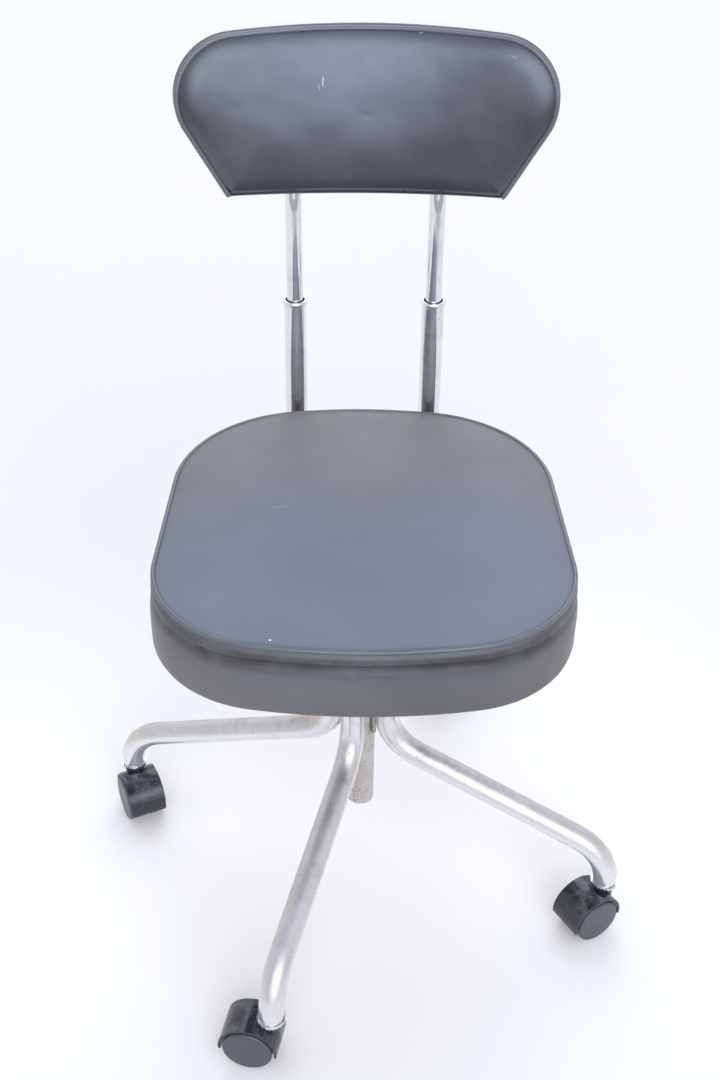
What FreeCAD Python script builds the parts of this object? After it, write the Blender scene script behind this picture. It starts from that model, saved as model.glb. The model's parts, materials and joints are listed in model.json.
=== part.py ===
import FreeCAD, Part
import math
import os
import Sketcher

# Dentist stool: four bent tube legs on twin-wheel casters, a screw column, an
# upholstered seat and a curved backrest that slides on two rods.
# Origin: the floor, under the column's axis.  +Z is up and the sitter faces -Y.

DIMENSIONS = (
    ("leg_radius", 12.7, "outer radius of a leg tube"),
    ("tube_wall", 1.6, "wall of every chromed tube"),
    ("leg_inset", 27.05, "column axis to the upright end of a leg"),
    ("leg_reach", 271.0, "column axis to a caster stem"),
    ("leg_top", 246.0, "height of the upright end's top"),
    ("leg_knee", 190.0, "height of the corner beside the column"),
    ("leg_ankle", 99.7, "height of the corner above the caster"),
    ("leg_foot", 58.4, "height of the leg's open end"),
    ("knee_bend", 52.0, "centre line radius of the bend at the column"),
    ("ankle_bend", 54.0, "centre line radius of the bend at the caster"),
    ("column_radius", 14.3, "outer radius of the column tube"),
    ("column_bore", 11.3, "inner radius of the column tube"),
    ("column_foot", 96.0, "height of the column's lower end"),
    ("column_top", 256.0, "height of the column's upper end"),
    ("spindle_radius", 9.5, "crest radius of the lifting screw"),
    ("spindle_foot", 165.0, "height of the screw's lower end"),
    ("spindle_shoulder", 338.0, "height of the shoulder that carries the seat"),
    ("journal_radius", 8.0, "radius of the journal the seat turns on"),
    ("journal_top", 384.0, "height of the journal's end"),
    ("nut_radius", 32.0, "radius of the height nut"),
    ("running_gap", 0.05, "radial clearance of a running fit"),
    ("wheel_radius", 25.0, "rolling radius of a caster wheel"),
    ("wheel_face", 21.4, "caster's middle plane to a wheel's outer face"),
    ("wheel_back", 3.4, "caster's middle plane to a wheel's inner face"),
    ("web_half", 2.8, "half thickness of the hood's middle web"),
    ("hood_radius", 29.3, "outer radius of a caster hood"),
    ("hood_cavity", 27.0, "inner radius of a caster hood"),
    ("hood_half", 19.5, "half width of a caster hood"),
    ("hood_skirt", 21.0, "height of the hood's lower edge"),
    ("caster_trail", 20.0, "caster stem to axle"),
    ("axle_radius", 3.0, "radius of a caster axle"),
    ("stem_radius", 5.5, "radius of a caster stem"),
    ("stem_foot", 47.5, "height of a caster stem's lower end"),
    ("key_height", 250.0, "height of the key pin"),
    ("key_radius", 1.8, "radius of the key pin"),
    ("seat_under", 392.0, "height of the seat board's underside"),
    ("board_thick", 12.0, "thickness of the seat board"),
    ("board_inset", 16.0, "welt's outer edge to the seat board's edge"),
    ("seat_welt", 465.0, "height of the welt's underside"),
    ("seat_crown", 480.0, "height of the middle of the seat"),
    ("front_corner_x", 80.4, "centre of a front corner's arc, sideways"),
    ("front_corner_y", 74.8, "centre of a front corner's arc, forwards"),
    ("front_corner_r", 111.3, "radius of a front corner's arc"),
    ("front_edge_r", 566.0, "radius of the seat's front edge"),
    ("rear_corner_x", 51.5, "centre of a rear corner's arc, sideways"),
    ("rear_corner_y", 53.9, "centre of a rear corner's arc, backwards"),
    ("rear_corner_r", 133.0, "radius of a rear corner's arc"),
    ("rear_edge_r", 471.0, "radius of the seat's rear edge"),
    ("plate_thick", 5.0, "thickness of the seat plate"),
    ("saddle_screw_x", 20.0, "back tube's axis to a saddle screw"),
    ("saddle_thick", 2.0, "thickness of a tube saddle"),
    ("post_x", 69.0, "seat's middle plane to a back post"),
    ("post_y", 206.0, "column axis to the back posts"),
    ("post_radius", 11.1, "outer radius of a lower back tube"),
    ("post_bend", 28.0, "centre line radius of a lower tube's bend"),
    ("post_front", 60.0, "how far forward a lower tube runs"),
    ("post_top", 580.5, "height of a lower tube's upper end"),
    ("rod_radius", 7.95, "outer radius of an upper rod"),
    ("rod_foot", 488.0, "height of an upper rod's lower end"),
    ("rod_bend_z", 688.0, "height where the rods lean back"),
    ("rod_bend", 60.0, "centre line radius of that bend"),
    ("rod_run", 24.0, "how far back the leaning part reaches"),
    ("rod_rise", 135.9, "how high the leaning part reaches"),
    ("back_curve", 540.0, "radius of the backrest's curve through the rods' axes"),
    ("back_corner_x", 116.9, "centre of an upper corner's arc, sideways"),
    ("back_corner_z", 101.1, "centre of an upper corner's arc, upwards"),
    ("back_corner_r", 56.8, "radius of an upper corner's arc"),
    ("back_top_r", 1353.0, "radius of the backrest's top edge"),
    ("back_bottom", 10.5, "backrest's lower edge above the rods' bend"),
    ("back_side_lean", 30.2, "lean of the backrest's lower sides, degrees"),
    ("pad_behind", 3.0, "rear pad's cover behind the rods"),
    ("strap_screw_x", 14.5, "rod's axis to a strap screw"),
    ("clamp_height", 559.5, "height of the thumb screws"),
    ("clamp_bore", 3.05, "radius of a thumb screw's bore"),
    ("welt", 5.0, "thickness of the welt cord"),
)

LEGS = (("front", -108.5), ("right", -18.5), ("rear", 71.5), ("left", 161.5))
CASTER_TURN = {"front": 168.0, "right": -148.0, "rear": 38.0, "left": -66.0}
SIDES = (("left", -1), ("right", 1))
KEY_AZIMUTH = -63.5      # the key pin points out between the front and right legs
SADDLE_Y = (-40.0, 75.0)     # where the saddles hold the back tubes
ROD_STRAP_Z = (45.0, 110.0)  # where the straps hold the rods, above the rods' bend
PAST = 1.0               # how far a cut runs past the face it leaves by
THROUGH = 300.0          # a cut longer than any piece of the backrest

doc = FreeCAD.newDocument("dentist_stool")
V = FreeCAD.Vector
subparts = []


class Dim:
    """A number together with the sheet expression that gives it."""

    def __init__(self, text, number):
        self.text = text
        self.number = number

    def __float__(self):
        return float(self.number)

    def __add__(self, other):
        return Dim(f"({self.text} + {words(other)})", float(self) + float(other))

    def __sub__(self, other):
        return Dim(f"({self.text} - {words(other)})", float(self) - float(other))

    def __mul__(self, other):
        return Dim(f"({self.text} * {words(other)})", float(self) * float(other))

    def __neg__(self):
        return self * -1


def words(value):
    return value.text if isinstance(value, Dim) else repr(float(value))


def make_sheet():
    sheet = doc.addObject("Spreadsheet::Sheet", "Sizes")
    for row, (alias, number, meaning) in enumerate(DIMENSIONS, start=1):
        sheet.set(f"A{row}", meaning)
        sheet.set(f"B{row}", str(number))
        sheet.setAlias(f"B{row}", alias)
    doc.recompute()
    return {alias: Dim(f"Sizes.{alias}", float(sheet.get(alias)))
            for alias, _, _ in DIMENSIONS}


S = make_sheet()
LEAN = math.degrees(math.atan2(float(S["rod_run"]), float(S["rod_rise"])))


# ---------------------------------------------------------------- helpers


def place(obj, base=(0, 0, 0), turn=0.0, lean=0.0):
    """Put obj at base, leaned about X and then turned about Z (degrees)."""
    spin = FreeCAD.Rotation(V(0, 0, 1), turn)
    tip = FreeCAD.Rotation(V(1, 0, 0), lean)
    obj.Placement = FreeCAD.Placement(V(*[float(c) for c in base]), spin * tip)


def new_body(label):
    body = doc.addObject("PartDesign::Body", label)
    body.Label = label
    return body


def keep(obj):
    """List obj as a sub-part that gets its own file."""
    subparts.append(obj)
    return obj


def origin_feature(body, role):
    return next(f for f in body.Origin.OriginFeatures if f.Role == role)


def new_sketch(body, role, lift=0.0):
    sketch = body.newObject("Sketcher::SketchObject", body.Label + "_sketch")
    sketch.AttachmentSupport = [(origin_feature(body, role), "")]
    sketch.MapMode = "FlatFace"
    sketch.AttachmentOffset = FreeCAD.Placement(V(0, 0, float(lift)), FreeCAD.Rotation())
    if isinstance(lift, Dim):
        sketch.setExpression("AttachmentOffset.Base.z", lift.text)
    return sketch


def fix(sketch, kind, *refs_and_value):
    """Add a dimension constraint, bound to the sheet when its value is a Dim."""
    *refs, value = refs_and_value
    number = sketch.addConstraint(Sketcher.Constraint(kind, *refs, float(value)))
    if isinstance(value, Dim):
        sketch.setExpression(f"Constraints[{number}]", value.text)


def pin_point(sketch, geo, end, x, y):
    """Hold one end of a sketch edge at x, y."""
    for kind, axis, value in (("DistanceX", -2, x), ("DistanceY", -1, y)):
        if float(value) == 0.0:
            sketch.addConstraint(Sketcher.Constraint("PointOnObject", geo, end, axis))
        else:
            fix(sketch, kind, -1, 1, geo, end, value)


def circle(sketch, radius, x=0.0, y=0.0):
    geo = sketch.addGeometry(Part.Circle(V(float(x), float(y), 0), V(0, 0, 1), float(radius)))
    pin_point(sketch, geo, 3, x, y)
    fix(sketch, "Radius", geo, radius)
    return geo


def polygon(sketch, points):
    """A closed outline of straight lines through the points."""
    count = len(points)
    ends = [V(float(x), float(y), 0) for x, y in points]
    lines = [sketch.addGeometry(Part.LineSegment(ends[i], ends[(i + 1) % count]))
             for i in range(count)]
    for i, (x, y) in enumerate(points):
        sketch.addConstraint(Sketcher.Constraint("Coincident", lines[i - 1], 2, lines[i], 1))
        pin_point(sketch, lines[i], 1, x, y)
    return lines


def rectangle(sketch, x0, y0, x1, y1):
    return polygon(sketch, [(x0, y0), (x1, y0), (x1, y1), (x0, y1)])


def arc_through(centre, radius, start, end):
    """Arc from angle start to angle end, counter-clockwise, in degrees."""
    return Part.ArcOfCircle(Part.Circle(V(*centre, 0), V(0, 0, 1), radius),
                            math.radians(start), math.radians(end))


def bearing(centre, point):
    """Direction from centre to point, in degrees."""
    return math.degrees(math.atan2(point.y - centre.y, point.x - centre.x))


def sized(feature, **values):
    """Set feature lengths, bound to the sheet where they are Dims."""
    for name, value in values.items():
        setattr(feature, name, float(value))
        if isinstance(value, Dim):
            feature.setExpression(name, value.text)
    return feature


def pad(body, sketch, length, side="One side", reverse=False):
    feature = body.newObject("PartDesign::Pad", body.Label + "_pad")
    feature.Profile = sketch
    feature.SideType = side
    feature.Reversed = reverse
    return sized(feature, Length=length)


def pocket(body, sketch, length, side="One side", reverse=False):
    """Cut the sketch away, and stop if nothing was cut."""
    doc.recompute()
    before = body.Shape.Volume
    feature = body.newObject("PartDesign::Pocket", body.Label + "_pocket")
    feature.Profile = sketch
    feature.SideType = side
    feature.Reversed = reverse
    sized(feature, Length=length)
    doc.recompute()
    if body.Shape.Volume > before - 0.01:
        raise RuntimeError(f"{body.Label}: a pocket cuts nothing")
    return feature


def revolve(body, sketch, role="Z_Axis"):
    feature = body.newObject("PartDesign::Revolution", body.Label + "_turned")
    feature.Profile = sketch
    feature.ReferenceAxis = (origin_feature(body, role), [""])
    return sized(feature, Angle=360.0)


def turned(label, points, plane="XZ_Plane", axis="Z_Axis"):
    """A body turned about an axis from its half section."""
    body = new_body(label)
    sketch = new_sketch(body, plane)
    polygon(sketch, points)
    revolve(body, sketch, axis)
    return body


def pattern_round(body, feature, count):
    pattern = body.newObject("PartDesign::PolarPattern", body.Label + "_round")
    pattern.Originals = [feature]
    pattern.Axis = (origin_feature(body, "Z_Axis"), [""])
    pattern.Angle = 360.0
    pattern.Occurrences = count
    body.Tip = pattern
    return pattern


def group(label, members):
    """Several identical solids in one node."""
    together = doc.addObject("Part::Compound", label)
    together.Label = label
    together.Links = members
    return keep(together)


def bent_path(sketch, points, radii):
    """Straight runs through the points, joined by tangent arcs; returns how many edges."""
    spots = [V(float(x), float(y), 0) for x, y in points]
    cuts = [spots[0]]
    arcs = []
    for i, radius in enumerate(radii, start=1):
        back = (spots[i - 1] - spots[i]).normalize()
        ahead = (spots[i + 1] - spots[i]).normalize()
        half = back.getAngle(ahead) / 2
        setback = float(radius) / math.tan(half)
        first, last = spots[i] + back * setback, spots[i] + ahead * setback
        centre = spots[i] + (back + ahead).normalize() * (float(radius) / math.sin(half))
        cuts += [first, last]
        turns_left = ahead.cross(back).z > 0
        start, finish = (first, last) if turns_left else (last, first)
        sweep = (bearing(centre, finish) - bearing(centre, start)) % 360
        begin = bearing(centre, start)
        arc = arc_through((centre.x, centre.y), float(radius), begin, begin + sweep)
        arcs.append((arc, turns_left))
    cuts.append(spots[-1])
    lines = [sketch.addGeometry(Part.LineSegment(cuts[2 * i], cuts[2 * i + 1]))
             for i in range(len(radii) + 1)]
    pin_point(sketch, lines[0], 1, *points[0])
    pin_point(sketch, lines[-1], 2, *points[-1])
    for i, (arc, turns_left) in enumerate(arcs):
        geo = sketch.addGeometry(arc)
        near, far = (1, 2) if turns_left else (2, 1)
        sketch.addConstraint(Sketcher.Constraint("Tangent", lines[i], 2, geo, near))
        sketch.addConstraint(Sketcher.Constraint("Tangent", geo, far, lines[i + 1], 1))
        fix(sketch, "Radius", geo, radii[i])
        corner = sketch.addGeometry(Part.Point(spots[i + 1]), True)
        pin_point(sketch, corner, 1, *points[i + 1])
        for line in (lines[i], lines[i + 1]):
            sketch.addConstraint(Sketcher.Constraint("PointOnObject", corner, 1, line))
    return 2 * len(radii) + 1


def bent_tube(label, plane, points, radii, profile_plane, lift, centre, outer, inner):
    """A round tube along a bent path."""
    body = new_body(label)
    path = new_sketch(body, plane)
    edges = bent_path(path, points, radii)
    profile = new_sketch(body, profile_plane, lift)
    circle(profile, outer, *centre)
    circle(profile, inner, *centre)
    doc.recompute()
    pipe = body.newObject("PartDesign::AdditivePipe", label + "_pipe")
    pipe.Profile = profile
    pipe.Spine = (path, [f"Edge{i}" for i in range(1, edges + 1)])
    return body


# ---------------------------------------------------------------- base


def make_leg(name, azimuth):
    points = [(S["leg_inset"], S["leg_top"]), (S["leg_inset"], S["leg_knee"]),
              (S["leg_reach"], S["leg_ankle"]), (S["leg_reach"], S["leg_foot"])]
    leg = bent_tube(f"leg_{name}", "XZ_Plane", points, [S["knee_bend"], S["ankle_bend"]],
                    "XY_Plane", S["leg_top"], (S["leg_inset"], 0.0),
                    S["leg_radius"], S["leg_radius"] - S["tube_wall"])
    place(leg, turn=azimuth)
    keep(leg)


def make_socket(name, base):
    """Toothed cup and sleeve, pressed into a leg's end, that holds a caster stem."""
    flange, flange_thick, teeth, tooth_gap, bevel = 14.2, 2.4, 24, 0.75, 0.8
    lip_inside, lip_top = 13.3, 1.6
    spigot, sleeve, spigot_top, top = 11.05, 7.6, 3.4, 19.6
    bore = S["stem_radius"] + S["running_gap"]
    body = turned(f"caster_socket_{name}", [
        (bore, -flange_thick), (flange - bevel, -flange_thick), (flange, bevel - flange_thick),
        (flange, lip_top), (lip_inside, lip_top), (lip_inside, 0.0), (spigot, 0.0),
        (spigot, spigot_top), (sleeve, spigot_top + bevel), (sleeve, top), (bore, top)])
    notch = new_sketch(body, "XY_Plane", -flange_thick)
    circle(notch, tooth_gap, flange + 0.2, 0.0)
    cut = pocket(body, notch, flange_thick + lip_top + PAST, reverse=True)
    pattern_round(body, cut, teeth)
    place(body, (base[0], base[1], S["leg_foot"]))
    keep(body)


def make_column():
    column = new_body("column_tube")
    ring = new_sketch(column, "XY_Plane")
    circle(ring, S["column_radius"])
    circle(ring, S["column_bore"])
    pad(column, ring, S["column_top"] - S["column_foot"])
    drill_key_hole(column, S["key_height"] - S["column_foot"])
    place(column, (0, 0, S["column_foot"]), KEY_AZIMUTH)
    keep(column)


def drill_key_hole(body, height):
    """Cross hole for the key pin, on the body's own +X side."""
    hole = new_sketch(body, "YZ_Plane")
    circle(hole, S["key_radius"], 0.0, height)
    pocket(body, hole, S["column_radius"] + PAST, reverse=True)


def make_bush():
    """Plain guide bush in the column's top, with a flange that the nut runs on."""
    bore, foot, flange_top = 9.55, 226.0, 260.0
    bush = turned("column_bush", [
        (bore, foot), (S["column_bore"], foot), (S["column_bore"], S["column_top"]),
        (S["column_radius"], S["column_top"]), (S["column_radius"], flange_top), (bore, flange_top)])
    drill_key_hole(bush, S["key_height"])
    place(bush, turn=KEY_AZIMUTH)
    keep(bush)


def make_key():
    """Pin through the column that runs in the screw's keyway."""
    tip, head, head_radius = 7.2, 16.6, 3.0
    key = turned("spindle_key", [
        (0.0, tip), (S["key_radius"], tip), (S["key_radius"], S["column_radius"]),
        (head_radius, S["column_radius"]), (head_radius, head), (0.0, head)])
    lay = FreeCAD.Rotation(V(0, 1, 0), 90)
    spin = FreeCAD.Rotation(V(0, 0, 1), KEY_AZIMUTH)
    key.Placement = FreeCAD.Placement(V(0, 0, float(S["key_height"])), spin * lay)
    keep(key)


def make_base():
    make_column()
    make_bush()
    make_key()
    for name, azimuth in LEGS:
        make_leg(name, azimuth)
        make_socket(name, stem_spot(azimuth))


def stem_spot(azimuth):
    reach = float(S["leg_reach"])
    return reach * math.cos(math.radians(azimuth)), reach * math.sin(math.radians(azimuth))


# ---------------------------------------------------------------- casters


def make_hood(name):
    """Moulded hood: half-round cover, middle web and stem boss."""
    boss_radius, boss_top = 10.0, 55.5
    hood = new_body(f"caster_hood_{name}")
    side = new_sketch(hood, "XZ_Plane")
    drop = float(S["wheel_radius"]) - float(S["hood_skirt"])
    dip = math.degrees(math.asin(drop / float(S["hood_radius"])))
    centre = (float(S["caster_trail"]), float(S["wheel_radius"]))
    arc = side.addGeometry(arc_through(centre, float(S["hood_radius"]), -dip, 180 + dip))
    half_chord = float(S["hood_radius"]) * math.cos(math.radians(dip))
    chord_ends = [V(centre[0] + sign * half_chord, float(S["hood_skirt"]), 0) for sign in (-1, 1)]
    chord = side.addGeometry(Part.LineSegment(*chord_ends))
    side.addConstraint(Sketcher.Constraint("Coincident", arc, 2, chord, 1))
    side.addConstraint(Sketcher.Constraint("Coincident", chord, 2, arc, 1))
    side.addConstraint(Sketcher.Constraint("Horizontal", chord))
    fix(side, "Radius", arc, S["hood_radius"])
    pin_point(side, arc, 3, S["caster_trail"], S["wheel_radius"])
    fix(side, "DistanceY", -1, 1, chord, 1, S["hood_skirt"])
    pad(hood, side, S["hood_half"] * 2, side="Symmetric")
    boss = new_sketch(hood, "XY_Plane", S["wheel_radius"])
    circle(boss, boss_radius)
    pad(hood, boss, -S["wheel_radius"] + boss_top)
    for lift, reverse in ((S["web_half"], True), (-S["web_half"], False)):
        cavity = new_sketch(hood, "XZ_Plane", lift)
        circle(cavity, S["hood_cavity"], S["caster_trail"], S["wheel_radius"])
        pocket(hood, cavity, S["hood_half"], reverse=reverse)
    hole = new_sketch(hood, "XZ_Plane")
    circle(hole, S["axle_radius"], S["caster_trail"], S["wheel_radius"])
    pocket(hood, hole, S["hood_half"], side="Symmetric")
    seat = new_sketch(hood, "XY_Plane", S["stem_foot"])
    circle(seat, S["stem_radius"])
    pocket(hood, seat, boss_top, reverse=True)
    return hood


def make_stem(name):
    radius, foot, top, bevel = S["stem_radius"], S["stem_foot"], 77.0, 1.2
    groove_low, groove_high, groove_depth = 69.0, 71.0, 0.7
    return turned(f"caster_stem_{name}", [
        (0.0, foot), (radius, foot), (radius, groove_low), (radius - groove_depth, groove_low),
        (radius - groove_depth, groove_high), (radius, groove_high), (radius, top - bevel),
        (radius - bevel, top), (0.0, top)])


def make_axle(name):
    reach, bevel = 18.6, 0.5
    radius = S["axle_radius"]
    return turned(f"caster_axle_{name}", [
        (0.0, -reach), (radius - bevel, -reach), (radius, bevel - reach),
        (radius, reach - bevel), (radius - bevel, reach), (0.0, reach)],
        plane="XY_Plane", axis="Y_Axis")


def make_wheel(name, label, side):
    """Moulded wheel, hollow behind its smooth outer disc."""
    rim, bevel, hub, disc, bore_end, inner_bevel = 21.0, 1.5, 7.0, 18.6, 19.0, 1.0
    bore = S["axle_radius"] + S["running_gap"]
    back, face = S["wheel_back"], S["wheel_face"]
    section = [(bore, back), (hub, back), (hub, disc), (rim, disc), (rim, back),
               (S["wheel_radius"] - inner_bevel, back), (S["wheel_radius"], back + inner_bevel),
               (S["wheel_radius"], face - bevel), (S["wheel_radius"] - bevel, face),
               (0.0, face), (0.0, bore_end), (bore, bore_end)]
    return turned(f"wheel_{label}_{name}", [(x, y * side) for x, y in section],
                  plane="XY_Plane", axis="Y_Axis")


def make_caster(name, azimuth):
    x, y = stem_spot(azimuth)
    turn = CASTER_TURN[name]
    for part in (make_hood(name), make_stem(name)):
        place(part, (x, y, 0), turn)
        keep(part)
    trail = float(S["caster_trail"])
    hub = (x + trail * math.cos(math.radians(turn)),
           y + trail * math.sin(math.radians(turn)), S["wheel_radius"])
    for part in (make_axle(name), make_wheel(name, "left", 1), make_wheel(name, "right", -1)):
        place(part, hub, turn)
        keep(part)


# ---------------------------------------------------------------- lifting screw


def make_spindle():
    """Lifting screw: threaded length with a keyway, shoulder and journal."""
    bevel, keyway_half, keyway_floor, keyway_length = 1.5, 2.0, 6.9, 155.0
    radius, journal = S["spindle_radius"], S["journal_radius"]
    spindle = turned("spindle", [
        (0.0, S["spindle_foot"]), (radius - bevel, S["spindle_foot"]),
        (radius, S["spindle_foot"] + bevel), (radius, S["spindle_shoulder"]),
        (journal, S["spindle_shoulder"]), (journal, S["journal_top"] - bevel),
        (journal - bevel, S["journal_top"]), (0.0, S["journal_top"])])
    slot = new_sketch(spindle, "XY_Plane", S["spindle_foot"] - PAST)
    rectangle(slot, keyway_floor, -keyway_half, radius + PAST, keyway_half)
    pocket(spindle, slot, keyway_length, reverse=True)
    place(spindle, turn=KEY_AZIMUTH)
    keep(spindle)


def make_thrust_washer():
    inner, outer, thick = 8.1, 15.0, 2.0
    washer = new_body("thrust_washer")
    ring = new_sketch(washer, "XY_Plane")
    circle(ring, outer)
    circle(ring, inner)
    pad(washer, ring, thick)
    place(washer, (0, 0, S["spindle_shoulder"]))
    keep(washer)


def make_height_nut():
    """Hand nut that lifts the screw: eight finger scallops round a bored disc."""
    foot, thick, bevel, bore = 260.3, 17.0, 2.0, 9.55
    scallop, scallop_out, scallops = 9.0, 5.0, 8
    radius = S["nut_radius"]
    nut = turned("height_nut", [
        (bore, 0.0), (radius - bevel, 0.0), (radius, bevel), (radius, thick - bevel),
        (radius - bevel, thick), (bore, thick)])
    notch = new_sketch(nut, "XY_Plane", -PAST)
    circle(notch, scallop, radius + scallop_out, 0.0)
    cut = pocket(nut, notch, thick + 2 * PAST, reverse=True)
    pattern_round(nut, cut, scallops)
    place(nut, (0, 0, foot))
    keep(nut)


# ---------------------------------------------------------------- seat


def seat_outline(sketch, inset):
    """Seat outline of arcs and two straight sides, inset from the welt's outer edge."""
    fx, fy, fr = (S[k] for k in ("front_corner_x", "front_corner_y", "front_corner_r"))
    rx, ry, rr = (S[k] for k in ("rear_corner_x", "rear_corner_y", "rear_corner_r"))
    radii = [S["front_edge_r"] - inset, fr - inset, rr - inset,
             S["rear_edge_r"] - inset, rr - inset, fr - inset]
    big, small = float(S["front_edge_r"]), float(fr)
    front_mid = -float(fy) + math.sqrt((big - small) ** 2 - float(fx) ** 2)
    far, near = float(S["rear_edge_r"]), float(rr)
    rear_mid = float(ry) - math.sqrt((far - near) ** 2 - float(rx) ** 2)
    centres = [(0.0, front_mid), (float(fx), -float(fy)), (float(rx), float(ry)),
               (0.0, rear_mid), (-float(rx), float(ry)), (-float(fx), -float(fy))]
    turn_front = math.degrees(math.atan2(-float(fy) - front_mid, float(fx)))
    turn_rear = math.degrees(math.atan2(float(ry) - rear_mid, float(rx)))
    span = math.hypot(float(fx) - float(rx), float(fy) + float(ry))
    slope = math.degrees(math.atan2(float(fx) - float(rx), float(fy) + float(ry)))
    side = slope + math.degrees(math.asin((float(fr) - float(rr)) / span))
    ends = [(180 - turn_front - 360, turn_front), (turn_front, side), (side, turn_rear),
            (turn_rear, 180 - turn_rear), (180 - turn_rear, 180 - side),
            (180 - side, 180 - turn_front)]
    arcs = [sketch.addGeometry(arc_through(c, float(r), a, b))
            for c, r, (a, b) in zip(centres, radii, ends)]
    lines = []
    for i, j in ((1, 2), (4, 5)):
        start = sketch.Geometry[arcs[i]].EndPoint
        finish = sketch.Geometry[arcs[j]].StartPoint
        lines.append(sketch.addGeometry(Part.LineSegment(start, finish)))
    for a, b in ((arcs[0], arcs[1]), (arcs[1], lines[0]), (lines[0], arcs[2]),
                 (arcs[2], arcs[3]), (arcs[3], arcs[4]), (arcs[4], lines[1]),
                 (lines[1], arcs[5]), (arcs[5], arcs[0])):
        sketch.addConstraint(Sketcher.Constraint("Tangent", a, 2, b, 1))
    for arc, radius in zip(arcs, radii):
        fix(sketch, "Radius", arc, radius)
    pin_point(sketch, arcs[1], 3, fx, -fy)
    pin_point(sketch, arcs[2], 3, rx, ry)
    pin_point(sketch, arcs[4], 3, -rx, ry)
    pin_point(sketch, arcs[5], 3, -fx, -fy)


def seat_layer(body, foot, top, inset):
    layer = new_sketch(body, "XY_Plane", foot)
    seat_outline(layer, inset)
    return pad(body, layer, top - foot)


def screw_places():
    """Where the saddles and the seat plate are screwed to the board."""
    return [(S["post_x"] * side + S["saddle_screw_x"] * across, y)
            for _, side in SIDES for across in (-1, 1) for y in SADDLE_Y]


def drill_screw_holes(body, foot, depth):
    radius = 2.5
    holes = new_sketch(body, "XY_Plane", foot)
    for x, y in screw_places():
        circle(holes, radius, x, y)
    pocket(body, holes, depth, reverse=True)


def make_seat_board():
    """Plywood board that carries the cushion."""
    hole_depth = 10.0
    board = new_body("seat_board")
    seat_layer(board, S["seat_under"], S["seat_under"] + S["board_thick"], S["board_inset"])
    drill_screw_holes(board, S["seat_under"], hole_depth)
    keep(board)


def make_seat_cushion():
    """Foam and cover, plain: a block, two steps of crown, and room for the board."""
    bulge, crown_inset, top_inset = -2.5, 5.3, 26.0
    welt_drop, first_step, board_gap = 3.0, 8.0, 0.2
    cushion = new_body("seat_cushion")
    block_top = S["seat_welt"] - welt_drop
    crown_top = S["seat_welt"] + first_step
    seat_layer(cushion, S["seat_under"], block_top, bulge)
    seat_layer(cushion, block_top, crown_top, crown_inset)
    seat_layer(cushion, crown_top, S["seat_crown"], top_inset)
    room = new_sketch(cushion, "XY_Plane", S["seat_under"])
    seat_outline(room, S["board_inset"] - board_gap)
    pocket(cushion, room, S["board_thick"] + board_gap, reverse=True)
    keep(cushion)


def make_seat_welt():
    drop = 2.8
    welt = new_body("seat_welt")
    ring = new_sketch(welt, "XY_Plane", S["seat_welt"] - drop)
    seat_outline(ring, 0.0)
    seat_outline(ring, S["welt"])
    pad(welt, ring, S["welt"])
    keep(welt)


def make_seat_plate():
    """Steel plate under the seat."""
    half_x, front, rear, chamfer = 98.0, -62.0, 98.0, 16.0
    plate = new_body("seat_plate")
    outline = new_sketch(plate, "XY_Plane", S["seat_under"] - S["plate_thick"])
    polygon(outline, [
        (-half_x, front + chamfer), (-half_x + chamfer, front), (half_x - chamfer, front),
        (half_x, front + chamfer), (half_x, rear - chamfer), (half_x - chamfer, rear),
        (-half_x + chamfer, rear), (-half_x, rear - chamfer)])
    pad(plate, outline, S["plate_thick"])
    drill_screw_holes(plate, S["seat_under"] - S["plate_thick"], S["plate_thick"])
    keep(plate)


def make_swivel_hub():
    """Bored hub under the seat plate; the seat turns on the journal inside it."""
    outer, flange, flange_thick, washer_and_gap = 17.0, 30.0, 5.0, 2.3
    foot = S["spindle_shoulder"] + washer_and_gap
    top = S["seat_under"] - S["plate_thick"]
    bore = S["journal_radius"] + S["running_gap"]
    hub = turned("swivel_hub", [
        (bore, foot), (outer, foot), (outer, top - flange_thick), (flange, top - flange_thick),
        (flange, top), (bore, top)])
    keep(hub)


def make_saddles():
    """Four straps that hold the back tubes under the seat plate."""
    width, half_x, hole_radius = 16.0, 27.0, 2.5
    thick = float(S["saddle_thick"])
    top = float(S["seat_under"]) - float(S["plate_thick"])
    radius = float(S["post_radius"])
    middle = top - radius
    members = []
    for _, side in SIDES:
        for y in SADDLE_Y:
            strap = new_body("saddle_strap")
            section = new_sketch(strap, "XZ_Plane")
            outer = radius + thick
            lines = [((-radius, top), (-half_x, top)), ((-half_x, top), (-half_x, top - thick)),
                     ((-half_x, top - thick), (-outer, top - thick)),
                     ((-outer, top - thick), (-outer, middle)),
                     ((outer, middle), (outer, top - thick)),
                     ((outer, top - thick), (half_x, top - thick)),
                     ((half_x, top - thick), (half_x, top)), ((half_x, top), (radius, top)),
                     ((radius, top), (radius, middle)), ((-radius, middle), (-radius, top))]
            for start, finish in lines:
                section.addGeometry(Part.LineSegment(V(*start, 0), V(*finish, 0)))
            section.addGeometry(arc_through((0, middle), outer, 180, 360))
            section.addGeometry(arc_through((0, middle), radius, 180, 360))
            pad(strap, section, width, side="Symmetric")
            holes = new_sketch(strap, "XY_Plane", top - thick - PAST)
            for across in (-1, 1):
                circle(holes, hole_radius, S["saddle_screw_x"] * across, 0.0)
            pocket(strap, holes, thick + 2 * PAST, reverse=True)
            place(strap, (side * float(S["post_x"]), y, 0))
            members.append(strap)
    group("tube_saddles", members)


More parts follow.
